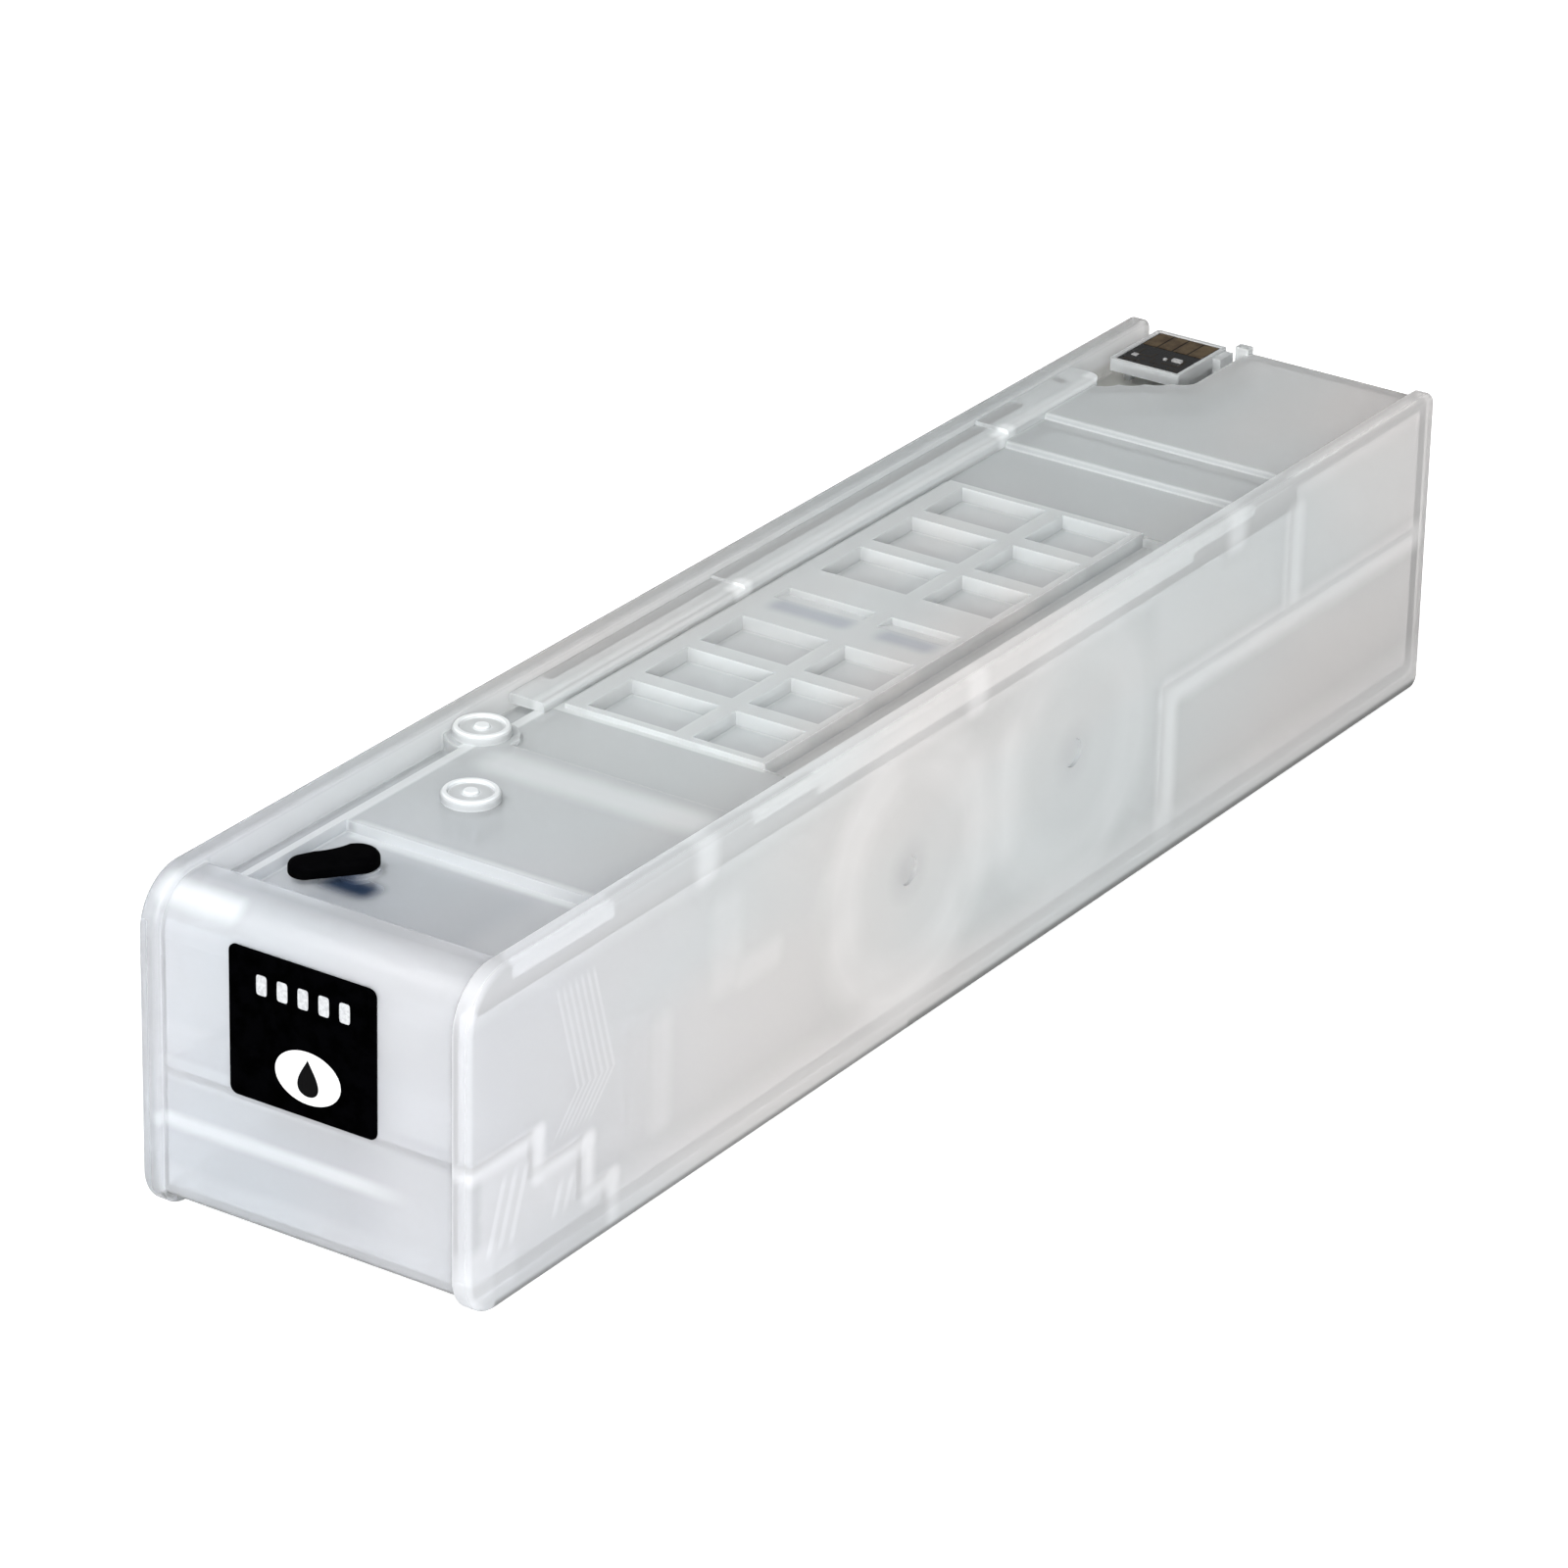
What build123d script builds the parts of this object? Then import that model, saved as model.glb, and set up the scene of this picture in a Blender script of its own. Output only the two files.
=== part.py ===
"""Refillable inkjet ink cartridge, long box type, in millimetres.

X runs across the cartridge, +X towards the welded side cover. Y runs along it, with the labelled front
face at -Y and the chip and ink outlet at +Y. Z is up. The origin is the middle of the surface that the two
side plates stand on.
"""

import os
from math import atan2, cos, degrees, radians, sin

from build123d import *

# Overall sizes
length = 248.0
width = 53.5
height = 49.0

# Walls, and how far the box stands inside the two side plates
plate = 3.0
wall = 1.6
rail = 2.5
front_recess = 1.2
rear_recess = 0.8
fit = 0.1

# Corners of the side plates, seen from the side
plate_top_r = 8.0
plate_low_r = 6.0
plate_rear_r = 2.0
plate_edge_outer = 0.9
plate_edge_inner = 0.5

# Levels of the deck, measured down from the top of the side plates
deck_drop = 1.2
shelf_drop = 2.1
plateau_drop = 2.2
frame_drop = 2.3
panel_drop = 3.1
pocket_drop = 3.8
channel_drop = 4.5
notch_drop = 5.6

# Places along the deck, measured from the front or the rear face of the box
lip_depth = 10.0
pocket_length = 22.5
plateau_length = 32.0
shelf_from_rear = 51.0
shelf_length = 11.0
front_top_r = 7.0
front_low_r = 1.5
plateau_slope = 0.4
shelf_slope = 0.3

# Air channel along the left edge of the deck
channel_width = 4.4
ridge_width = 1.2
strip_width = 6.0
strip_start = 77.0
strip_rear_gap = 23.0
strip_front_length = 49.0
strip_rear_length = 27.0
strip_front_height = 1.5
strip_middle_height = 1.9
strip_rear_height = 2.5
strip_end_r = 2.4
strip_edge_r = 0.6
strip_seam_r = 0.2
channel_entry = 8.0

# Grid frame in the middle of the deck
frame_start = 80.0
frame_length = 98.0
frame_gap = 1.35
frame_bar = 1.3
frame_left_bar = 2.9
spine_width = 2.7
gutter_width = 6.95
left_window_width = 14.7
window_length = 10.6
window_rib = 3.0
windows_per_group = 3
slit_length = 4.2
slit_depth = 1.1

# Round air caps
cap_r = 4.1
cap_height = 1.4
cap_rim = 0.8
cap_dish = 0.45
cap_nub_r = 0.95
cap_dish_slope = 0.2
cap_nub_slope = 0.3
cap_edge_in = 0.3
cap_edge_down = 0.4
spigot_lead = 0.4
spigot_taper = 0.2
spigot_r = 2.4
spigot_length = 2.0
air_hole_r = 1.0
valve_boss_r = 4.3
air_cap_from_left = 15.25
air_cap_y = 47.3
vent_boss_r = 5.2
vent_cap_y = 65.0
disc_thickness = 0.3
disc_cone = 0.5
disc_neck = 0.2

# Fill hole and its plug
fill_from_left = 14.05
fill_y = 23.7
fill_hole_r = 2.4
fill_collar_r = 3.1
fill_collar_height = 0.7
plug_head_r = 3.1
plug_tab_r = 2.3
plug_tab_x = -4.0
plug_tab_y = -6.0
plug_thickness = 2.1
plug_waist = 0.7
plug_waist_r = 9.0
stem_length = 5.0
stem_barb = 0.45
stem_barb_length = 1.2
plug_top_r = 0.95
plug_low_r = 0.42

# Chip notch, tray, board and pads in the rear left corner
notch_width = 18.25
notch_length = 16.0
notch_slant = 10.0
notch_waves = 4
notch_wave_depth = 0.6
notch_lip = 0.6
notch_lip_gap = 0.2
tray_width = 12.4
tray_length = 14.6
tray_thickness = 1.0
tray_below_deck = 0.2
tray_rim_height = 0.17
tray_corner_r = 0.5
tray_left_gap = 1.9
tray_leg = 1.2
tray_leg_inset = 1.0
tray_leg_start = 3.0
tray_rear_gap = 0.6
tray_stop_width = 1.4
tray_stop_length = 3.8
tray_stop_drop = 0.4
board_width = 10.9
board_length = 13.2
board_thickness = 0.8
pad_count = 4
pad_gap = 0.25
pad_length = 5.2
pad_thickness = 0.06
board_corner_r = 0.35
soldered_parts = ((1.0, -2.6, 0.5, 0.5, 0.25), (2.9, -2.2, 1.6, 0.8, 0.35), (-3.9, -3.4, 0.9, 0.9, 0.12))
die_r = 2.2
die_height = 0.8
die_edge_r = 0.4

# Ink outlet in the rear wall
outlet_x = 0.0
outlet_z = 16.0
outlet_bore_r = 6.0
outlet_tube_wall = 1.8
outlet_depth = 9.0
outlet_throat_r = 4.6
retainer_thickness = 2.2
retainer_bore_r = 3.2
retainer_lead = 0.6
seal_thickness = 4.5
dimple_r = 1.6
dimple_depth = 0.8
filter_thickness = 0.5

# Front label
label_width = 23.8
label_height = 21.8
label_x = -0.6
label_low = 19.2
label_corner = 1.2
label_thickness = 0.15

# Inner chamber walls
chamber_wall = 1.2
rear_chamber = 40.0
shelf_wall_z = 27.0
shelf_wall_front = 75.0
ink_gap = 3.0
stair_depths = (14.6, 25.6, 31.2)
stair_heights = (21.6, 15.8, 8.0)

# Side cover details on its inner face: those near the front end are placed from the front of the box
round_r = 20.0
round_thickness = 0.5
round_places = ((-21.5, 25.2), (21.4, 27.0))
gate_r = 2.2
gate_depth = 0.5
bead = 0.45
chevron_count = 7
chevron_pitch = 1.35
chevron_apex = (30.8, 24.7)
chevron_top = (25.8, 41.5)
chevron_low = (24.8, 18.4)
guide_rib = 1.0
guide_width = 6.2
guide_low = 10.0
guide_high = 27.6
guide_from_front = 38.2
guide_outer_r = 1.5
guide_inner_r = 0.5
mark_rib = (55.0, 34.0, 39.0)
stair_bead_slope = 0.35
stair_beads = ((2.8, 8.0, 19.0), (5.3, 8.0, 19.0), (7.8, 8.0, 19.0), (17.3, 7.5, 13.0), (19.8, 7.5, 13.0))
tab_places = (-70.5, -4.4, 66.0)
tab_length = 4.5
tab_height = 3.0
tab_thickness = 1.4

# How round pieces stand on their place or hang from it
upright = (Align.CENTER, Align.CENTER, Align.MIN)
hanging = (Align.CENTER, Align.CENTER, Align.MAX)

# Faces and levels that follow from those sizes
left_in = -width / 2 + plate
right_in = width / 2 - plate
span = right_in - left_in
front = -length / 2 + front_recess
rear = length / 2 - rear_recess
deck_z = height - deck_drop
shelf_z = height - shelf_drop
plateau_z = height - plateau_drop
frame_z = height - frame_drop
panel_z = height - panel_drop
pocket_z = height - pocket_drop
channel_z = height - channel_drop
notch_z = height - notch_drop
cavity_z = channel_z - wall
floor_z = rail + wall

lip_y = front + lip_depth
step_y = lip_y + pocket_length
panel_y = step_y + plateau_length
shelf_y = rear - shelf_from_rear
deck_y = shelf_y + shelf_length
strip_y = front + strip_start
strip_end = rear - strip_rear_gap
strip_right = left_in + strip_width
ridge_left = left_in + channel_width
ridge_right = ridge_left + ridge_width
frame_y = front + frame_start
frame_end = frame_y + frame_length
frame_left = strip_right + frame_gap
frame_right = right_in - gutter_width
spine_left = frame_left + frame_left_bar + left_window_width
spine_right = spine_left + spine_width
vent_x = left_in + cap_r + fit
vent_y = front + vent_cap_y
air_x = left_in + air_cap_from_left
air_y = front + air_cap_y
fill_x = left_in + fill_from_left
plug_y = front + fill_y
notch_right = left_in + notch_width
notch_front = rear - notch_length
notch_side = notch_front - notch_slant
partition_y = rear - rear_chamber


def plate_outline(x):
    """A sketch of the side plates' outline in the plane at x."""
    ends = length / 2
    with BuildSketch(Plane.YZ.offset(x)) as outline:
        with BuildLine():
            FilletPolyline(
                (-ends, 0),
                (-ends, height),
                (ends, height),
                (ends, 0),
                radius=(plate_low_r, plate_top_r, plate_rear_r, plate_rear_r),
                close=True,
            )
        make_face()
    return outline.sketch


def block(x0, x1, y0, y1, z0, z1, mode=Mode.ADD):
    """A box between two corners, in the part that is being built."""
    with Locations(((x0 + x1) / 2, (y0 + y1) / 2, (z0 + z1) / 2)):
        Box(x1 - x0, y1 - y0, z1 - z0, mode=mode)


def notch_outline(grow, z):
    """A sketch of the chip notch at level z, grown by a wall; its slanted front edge is wavy."""
    left, right, back = left_in, notch_right + grow, rear + rear_recess
    near, far = notch_side - grow, notch_front - grow
    with BuildSketch(Plane.XY.offset(z)) as outline:
        with BuildLine():
            Polyline((strip_right, near), (left, near), (left, back), (right, back), (right, far))
            dx, dy = (strip_right - right) / notch_waves, (near - far) / notch_waves
            for k in range(notch_waves):
                x, y = right + k * dx, far + k * dy
                middle = (x + (dx + notch_wave_depth) / 2, y + dy / 2 - notch_wave_depth)
                ThreePointArc((x, y), middle, (x + dx, y + dy))
        make_face()
    return outline.sketch


def cap_profile():
    """Half section of a round air cap, in its own X and Z, with its seat at Z 0."""
    with BuildSketch(Plane.XZ) as section:
        with BuildLine():
            Polyline(
                (0, -spigot_length),
                (spigot_r - spigot_taper, -spigot_length),
                (spigot_r, -spigot_length + spigot_lead),
                (spigot_r, 0),
                (cap_r, 0),
                (cap_r, cap_height - cap_edge_down),
                (cap_r - cap_edge_in, cap_height),
                (cap_r - cap_rim, cap_height),
                (cap_r - cap_rim - cap_dish_slope, cap_height - cap_dish),
                (cap_nub_r + cap_nub_slope, cap_height - cap_dish),
                (cap_nub_r, cap_height),
                (0, cap_height),
                close=True,
            )
        make_face()
    return section.sketch


# Body: left plate, box, deck and inner walls in one moulding
deck_line = (
    (front, rail),
    (front, deck_z),
    (lip_y, deck_z),
    (lip_y, plateau_z),
    (panel_y, plateau_z),
    (panel_y + plateau_slope, panel_z),
    (shelf_y, panel_z),
    (shelf_y + shelf_slope, shelf_z),
    (deck_y, shelf_z),
    (deck_y + shelf_slope, deck_z),
    (rear, deck_z),
    (rear, rail),
)
deck_radii = (front_low_r, front_top_r, 0.5, 0.2, 0.3, 0, 0, 0.3, 0, 0.3, 0.6, front_low_r)

with BuildPart() as body:
    extrude(plate_outline(-width / 2), amount=plate)
    fillet(body.faces().sort_by(Axis.X)[0].outer_wire().edges(), plate_edge_outer)
    fillet(body.faces().sort_by(Axis.X)[-1].outer_wire().edges(), plate_edge_inner)
    with BuildSketch(Plane.YZ.offset(left_in - plate_edge_inner)) as side_view:
        with BuildLine():
            FilletPolyline(*deck_line, radius=deck_radii, close=True)
        make_face()
    extrude(amount=span + plate_edge_inner)

    # Main cavity, with more room below the plateau and the rear deck
    block(left_in, right_in, front + wall, rear - wall, floor_z, cavity_z, Mode.SUBTRACT)
    relief = (strip_right + wall, right_in - plate, step_y + wall, panel_y - wall)
    block(*relief, cavity_z - fit, plateau_z - wall, Mode.SUBTRACT)
    block(left_in, right_in, deck_y + wall, rear - wall, cavity_z - fit, deck_z - wall, Mode.SUBTRACT)

    # Chip notch with its own walls
    extrude(notch_outline(wall, notch_z - wall), amount=deck_z - notch_z + wall / 2)
    block(left_in, width, rear, rear + plate, 0, height, Mode.SUBTRACT)
    extrude(notch_outline(0, notch_z), amount=notch_drop, mode=Mode.SUBTRACT)
    lip_right = notch_right + notch_lip
    block(notch_right - wall, lip_right, rear - wall, rear, deck_z - wall, height - notch_lip_gap)

    # Air channel, its ridge and the seat of its cover
    block(left_in, strip_right + fit, strip_y - fit, strip_end + fit, panel_z, height, Mode.SUBTRACT)
    block(left_in, ridge_left, lip_y, strip_y + channel_entry, channel_z, height, Mode.SUBTRACT)
    block(left_in + wall, strip_right - wall, strip_y, strip_end - wall, channel_z, height, Mode.SUBTRACT)

    # Front pocket with the fill hole and its collar
    block(ridge_right, right_in, lip_y, step_y, pocket_z, height, Mode.SUBTRACT)
    with Locations((fill_x, plug_y, pocket_z - wall)):
        Cylinder(fill_collar_r, wall + fill_collar_height, align=upright)
    with Locations((fill_x, plug_y, height)):
        Cylinder(fill_hole_r, height, mode=Mode.SUBTRACT)

    # Raised grid frame, its windows and sloping slits, and the gutter beside it
    block(frame_left, frame_right, frame_y, frame_end, panel_z, frame_z)
    block(frame_right, right_in, frame_y, frame_end, channel_z, height, Mode.SUBTRACT)
    group = windows_per_group * window_length + (windows_per_group - 1) * window_rib
    group_starts = (frame_y + frame_bar, frame_end - frame_bar - group)
    columns = ((frame_left + frame_left_bar, spine_left), (spine_right, frame_right - frame_bar))
    for column in columns:
        for start in group_starts:
            for k in range(windows_per_group):
                y = start + k * (window_length + window_rib)
                block(*column, y, y + window_length, channel_z, height, Mode.SUBTRACT)
        slit_end = (group_starts[0] + group + group_starts[1] + slit_length) / 2
        with BuildSketch(Plane.YZ.offset(column[0])):
            with BuildLine():
                Polyline(
                    (slit_end - slit_length, frame_z),
                    (slit_end, frame_z),
                    (slit_end, frame_z - slit_depth),
                    close=True,
                )
            make_face()
        extrude(amount=column[1] - column[0], mode=Mode.SUBTRACT)

    # Bosses, bores and air holes of the two caps
    with Locations((vent_x, vent_y, cavity_z)):
        Cylinder(vent_boss_r, plateau_z - cavity_z, align=upright)
    with Locations((air_x, air_y, cavity_z - wall)):
        Cylinder(valve_boss_r, plateau_z - cavity_z + wall, align=upright)
    for x, y in ((vent_x, vent_y), (air_x, air_y)):
        with Locations((x, y, plateau_z - spigot_length - disc_thickness - fit)):
            Cylinder(spigot_r + fit, height, align=upright, mode=Mode.SUBTRACT)
        with Locations((x, y, cavity_z - 2 * wall)):
            Cylinder(air_hole_r, height, align=upright, mode=Mode.SUBTRACT)
    block(-width, -width / 2, -length, length, 0, 2 * height, Mode.SUBTRACT)

    # Chamber walls: rear partition and shelf, with gaps that let the ink through
    partition_end = partition_y + chamber_wall
    block(left_in, right_in, partition_y, partition_end, shelf_wall_z, cavity_z)
    shelf_front = rear - shelf_wall_front
    block(left_in, right_in, shelf_front, rear - wall, shelf_wall_z - chamber_wall, shelf_wall_z)
    shelf_low = floor_z + ink_gap
    block(left_in, right_in, shelf_front, shelf_front + chamber_wall, shelf_low, shelf_wall_z)
    block(-ink_gap, ink_gap, partition_y, partition_end, shelf_wall_z, shelf_wall_z + ink_gap, Mode.SUBTRACT)

    # Stair-shaped wall of the small chamber in the lower front corner
    tread_front = front + wall
    for depth, top, low in zip(stair_depths, stair_heights, (*stair_heights[1:], floor_z)):
        tread_end = front + depth
        block(left_in, right_in, tread_front, tread_end, top - chamber_wall, top)
        block(left_in, right_in, tread_end - chamber_wall, tread_end, low - chamber_wall, top)
        tread_front = tread_end - chamber_wall

    # Outlet tube through the rear wall
    with BuildSketch(Plane.XZ.offset(-rear)) as tube_end:
        with Locations((outlet_x, outlet_z)):
            Circle(outlet_bore_r + outlet_tube_wall)
    extrude(amount=outlet_depth + wall)
    with BuildSketch(Plane.XZ.offset(-rear)) as tube_throat:
        with Locations((outlet_x, outlet_z)):
            Circle(outlet_throat_r)
    extrude(amount=outlet_depth + 2 * wall, mode=Mode.SUBTRACT)
    with BuildSketch(Plane.XZ.offset(-rear)) as tube_bore:
        with Locations((outlet_x, outlet_z)):
            Circle(outlet_bore_r)
    extrude(amount=retainer_thickness + seal_thickness + filter_thickness, mode=Mode.SUBTRACT)
body.part.label = "body"

# Side cover: the right plate, with the details of its inner face
with BuildPart() as side_cover:
    extrude(plate_outline(right_in), amount=plate)
    fillet(side_cover.faces().sort_by(Axis.X)[-1].outer_wire().edges(), plate_edge_outer)
    fillet(side_cover.faces().sort_by(Axis.X)[0].outer_wire().edges(), plate_edge_inner)

    # Thick rounds about the two mould gates, with the gate marks sunk in the outer face
    cavity_height = cavity_z - floor_z - 2 * fit
    with BuildSketch(Plane.YZ.offset(right_in - round_thickness)):
        with Locations(*round_places):
            Circle(round_r)
        with Locations((0, floor_z + fit + cavity_height / 2)):
            Rectangle(length, cavity_height, mode=Mode.INTERSECT)
    extrude(amount=round_thickness + fit)
    with BuildSketch(Plane.YZ.offset(width / 2)):
        with Locations(*round_places):
            Circle(gate_r)
    extrude(amount=-gate_depth, mode=Mode.SUBTRACT)

    # Nested chevron beads
    with BuildSketch(Plane.YZ.offset(right_in - bead)):
        for k in range(chevron_count):
            start = front - k * chevron_pitch
            with BuildLine():
                Polyline(
                    (start + chevron_top[0], chevron_top[1]),
                    (start + chevron_apex[0], chevron_apex[1]),
                    (start + chevron_low[0], chevron_low[1]),
                )
            trace(line_width=bead)
    extrude(amount=bead + fit)

    # Guide ribs in the form of a closed slot
    guide_height = guide_high - guide_low
    with BuildSketch(Plane.YZ.offset(right_in - guide_rib)):
        with Locations((front + guide_from_front, guide_low + guide_height / 2)):
            RectangleRounded(guide_width, guide_height, guide_outer_r)
            inside = (guide_width - 2 * guide_rib, guide_height - 2 * guide_rib)
            RectangleRounded(*inside, guide_inner_r, mode=Mode.SUBTRACT)
    extrude(amount=guide_rib + fit)

    # Flow beads that fan out in the stair-shaped chamber, and a short upright mark
    with BuildSketch(Plane.YZ.offset(right_in - bead)):
        for y, low, high in stair_beads:
            with BuildLine():
                Line((front + y, low), (front + y + (high - low) * stair_bead_slope, high))
            trace(line_width=bead)
        with BuildLine():
            Line((front + mark_rib[0], mark_rib[1]), (front + mark_rib[0], mark_rib[2]))
        trace(line_width=bead)
    extrude(amount=bead + fit)

    # Locating tabs that bear up against the underside of the deck
    tab_top = cavity_z - fit
    for y in tab_places:
        tab = (y - tab_length / 2, y + tab_length / 2, tab_top - tab_height, tab_top)
        block(right_in - tab_thickness, right_in + fit, *tab)
side_cover.part.label = "side_cover"

# Stepped cover over the air channel, rounded at its right edge and at its rear end
with BuildPart() as air_channel_cover:
    strip_step = strip_y + strip_front_length
    strip_last = strip_end - strip_rear_length
    for start, end, top in (
        (strip_y, strip_step, strip_front_height),
        (strip_step, strip_last, strip_middle_height),
        (strip_last, strip_end, strip_rear_height),
    ):
        with BuildSketch(Plane.XZ.offset(-start)):
            with BuildLine():
                FilletPolyline(
                    (left_in + fit, panel_z),
                    (left_in + fit, panel_z + top),
                    (strip_right, panel_z + top),
                    (strip_right, panel_z),
                    radius=(0, strip_seam_r, strip_edge_r, 0),
                    close=True,
                )
            make_face()
        extrude(amount=start - end)
    with BuildSketch(Plane.XY.offset(panel_z)):
        with BuildLine():
            FilletPolyline(
                (left_in, strip_y),
                (left_in, strip_end),
                (strip_right, strip_end),
                (strip_right, strip_y),
                radius=(0, 0, strip_end_r, 0),
                close=True,
            )
        make_face()
    extrude(amount=panel_drop, mode=Mode.INTERSECT)
    with Locations((vent_x, vent_y, panel_z - fit)):
        Cylinder(vent_boss_r + fit, height, align=upright, mode=Mode.SUBTRACT)
air_channel_cover.part.label = "air_channel_cover"

# The two round caps and what lies below them
with BuildPart() as vent_cap:
    add(cap_profile().moved(Location((vent_x, vent_y, plateau_z))))
    revolve(axis=Axis((vent_x, vent_y, 0), (0, 0, 1)))
vent_cap.part.label = "vent_cap"

with BuildPart() as air_valve_cap:
    add(cap_profile().moved(Location((air_x, air_y, plateau_z))))
    revolve(axis=Axis((air_x, air_y, 0), (0, 0, 1)))
air_valve_cap.part.label = "air_valve_cap"

with BuildPart() as vent_membrane:
    with Locations((vent_x, vent_y, plateau_z - spigot_length - disc_thickness - fit)):
        Cylinder(spigot_r, disc_thickness, align=upright)
vent_membrane.part.label = "vent_membrane"

with BuildPart() as air_valve_disc:
    seat = plateau_z - spigot_length - disc_thickness - fit
    with Locations((air_x, air_y, seat)):
        Cylinder(spigot_r - fit, disc_thickness, align=upright)
    disc_low = cavity_z - wall - disc_thickness
    with Locations((air_x, air_y, disc_low)):
        Cylinder(air_hole_r - fit, seat - disc_low, align=upright)
        disc_radii = (air_hole_r + disc_neck, valve_boss_r - 2 * fit)
        Cone(*disc_radii, disc_cone, align=hanging)
air_valve_disc.part.label = "air_valve_disc"

# Rubber fill plug: round head, pull tab and barbed stem
head_z = pocket_z + fill_collar_height
with BuildPart() as fill_plug:
    with BuildSketch(Plane.XY.offset(head_z)) as plug_outline:
        with Locations((fill_x, plug_y)):
            Circle(plug_head_r)
        with Locations((fill_x + plug_tab_x, plug_y + plug_tab_y)):
            Circle(plug_tab_r)
        make_hull()
        tab_angle = degrees(atan2(plug_tab_y, plug_tab_x))
        middle = (fill_x + plug_tab_x / 2, plug_y + plug_tab_y / 2)
        offset_out = plug_head_r + plug_waist_r - plug_waist
        side = radians(tab_angle - 90)
        with Locations((middle[0] + offset_out * cos(side), middle[1] + offset_out * sin(side))):
            Circle(plug_waist_r, mode=Mode.SUBTRACT)
    extrude(amount=plug_thickness)
    fillet(fill_plug.faces().sort_by(Axis.Z)[-1].edges(), plug_top_r)
    fillet(fill_plug.faces().sort_by(Axis.Z)[0].edges(), plug_low_r)
    with Locations((fill_x, plug_y, head_z)):
        Cylinder(fill_hole_r - fit, stem_length, align=hanging)
    with Locations((fill_x, plug_y, head_z - stem_length)):
        barb_r = fill_hole_r + stem_barb - 2 * fit
        Cone(fill_hole_r - 3 * fit, barb_r, stem_barb_length, align=upright)
fill_plug.part.label = "fill_plug"

# Chip tray, board, pads, soldered parts and sealed die
tray_left = left_in + tray_left_gap
tray_y = rear - tray_length
tray_top = deck_z - tray_below_deck
board_top = tray_top - tray_rim_height
board_low = board_top - board_thickness
board_x = tray_left + tray_width / 2
board_y = rear - tray_length / 2
with BuildPart() as chip_carrier:
    block(tray_left, tray_left + tray_width, tray_y, rear, board_low - tray_thickness, tray_top)
    fillet(chip_carrier.edges().filter_by(Axis.Z), tray_corner_r)
    with Locations((board_x, board_y, board_low)):
        Box(board_width + 2 * fit, board_length + 2 * fit, height, align=upright, mode=Mode.SUBTRACT)
    with Locations((board_x, board_y, height / 2)):
        Cylinder(die_r + 2 * fit, height, mode=Mode.SUBTRACT)
    tray_right = tray_left + tray_width
    leg_top = board_low - tray_thickness
    for x in (tray_left + tray_leg_inset, tray_right - tray_leg_inset - tray_leg):
        block(x, x + tray_leg, tray_y + tray_leg_start, rear - tray_rear_gap, notch_z, leg_top)
    stop_end = rear - tray_rear_gap
    stop_top = tray_top - tray_stop_drop
    block(tray_right, tray_right + tray_stop_width, stop_end - tray_stop_length, stop_end, notch_z, stop_top)
chip_carrier.part.label = "chip_carrier"

with BuildPart() as chip_board:
    with Locations((board_x, board_y, board_low + board_thickness / 2)):
        Box(board_width, board_length, board_thickness)
    fillet(chip_board.edges().filter_by(Axis.Z), board_corner_r)
chip_board.part.label = "chip_board"

pad_width = (board_width - (pad_count + 1) * pad_gap) / pad_count
with BuildPart() as chip_contacts:
    with Locations((board_x, board_y + board_length / 2 - pad_gap - pad_length / 2, board_top)):
        with GridLocations(pad_width + pad_gap, 1, pad_count, 1):
            Box(pad_width, pad_length, pad_thickness, align=upright)
chip_contacts.part.label = "chip_contacts"

with BuildPart() as chip_parts:
    for dx, dy, size_x, size_y, size_z in soldered_parts:
        with Locations((board_x + dx, board_y + dy, board_top)):
            Box(size_x, size_y, size_z, align=upright)
chip_parts.part.label = "chip_parts"

with BuildPart() as chip_die:
    with Locations((board_x, board_y, board_low)):
        Cylinder(die_r, die_height, align=hanging)
    fillet(chip_die.faces().sort_by(Axis.Z)[0].edges(), die_edge_r)
chip_die.part.label = "chip_die"

# Label on the front face
with BuildPart() as front_label:
    with BuildSketch(Plane.XZ.offset(-front)):
        with Locations((label_x, rail + label_low + label_height / 2)):
            RectangleRounded(label_width, label_height, label_corner)
    extrude(amount=label_thickness)
front_label.part.label = "front_label"

# Ink outlet: retainer ring, slit seal and filter, from the rear face inwards
with BuildPart() as outlet_retainer:
    with BuildSketch(Plane.XZ.offset(-rear)):
        with Locations((outlet_x, outlet_z)):
            Circle(outlet_bore_r - fit)
            Circle(retainer_bore_r, mode=Mode.SUBTRACT)
    extrude(amount=retainer_thickness)
    chamfer(outlet_retainer.faces().sort_by(Axis.Y)[-1].inner_wires()[0].edges(), retainer_lead)
outlet_retainer.part.label = "outlet_retainer"

seal_y = rear - retainer_thickness
with BuildPart() as outlet_seal:
    with BuildSketch(Plane.XZ.offset(-seal_y)):
        with Locations((outlet_x, outlet_z)):
            Circle(outlet_bore_r - fit)
    extrude(amount=seal_thickness)
    with Locations(Location((outlet_x, seal_y, outlet_z), (90, 0, 0))):
        Cone(0, dimple_r, dimple_depth, align=upright, mode=Mode.SUBTRACT)
outlet_seal.part.label = "outlet_seal"

with BuildPart() as outlet_filter:
    with BuildSketch(Plane.XZ.offset(-(seal_y - seal_thickness))):
        with Locations((outlet_x, outlet_z)):
            Circle(outlet_bore_r - fit)
    extrude(amount=filter_thickness)
outlet_filter.part.label = "outlet_filter"

pieces = (
    body,
    side_cover,
    air_channel_cover,
    vent_cap,
    air_valve_cap,
    vent_membrane,
    air_valve_disc,
    fill_plug,
    chip_carrier,
    chip_board,
    chip_contacts,
    chip_parts,
    chip_die,
    front_label,
    outlet_retainer,
    outlet_seal,
    outlet_filter,
)
os.makedirs("parts", exist_ok=True)
for piece in pieces:
    export_step(piece.part, f"parts/{piece.part.label}.step")
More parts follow.
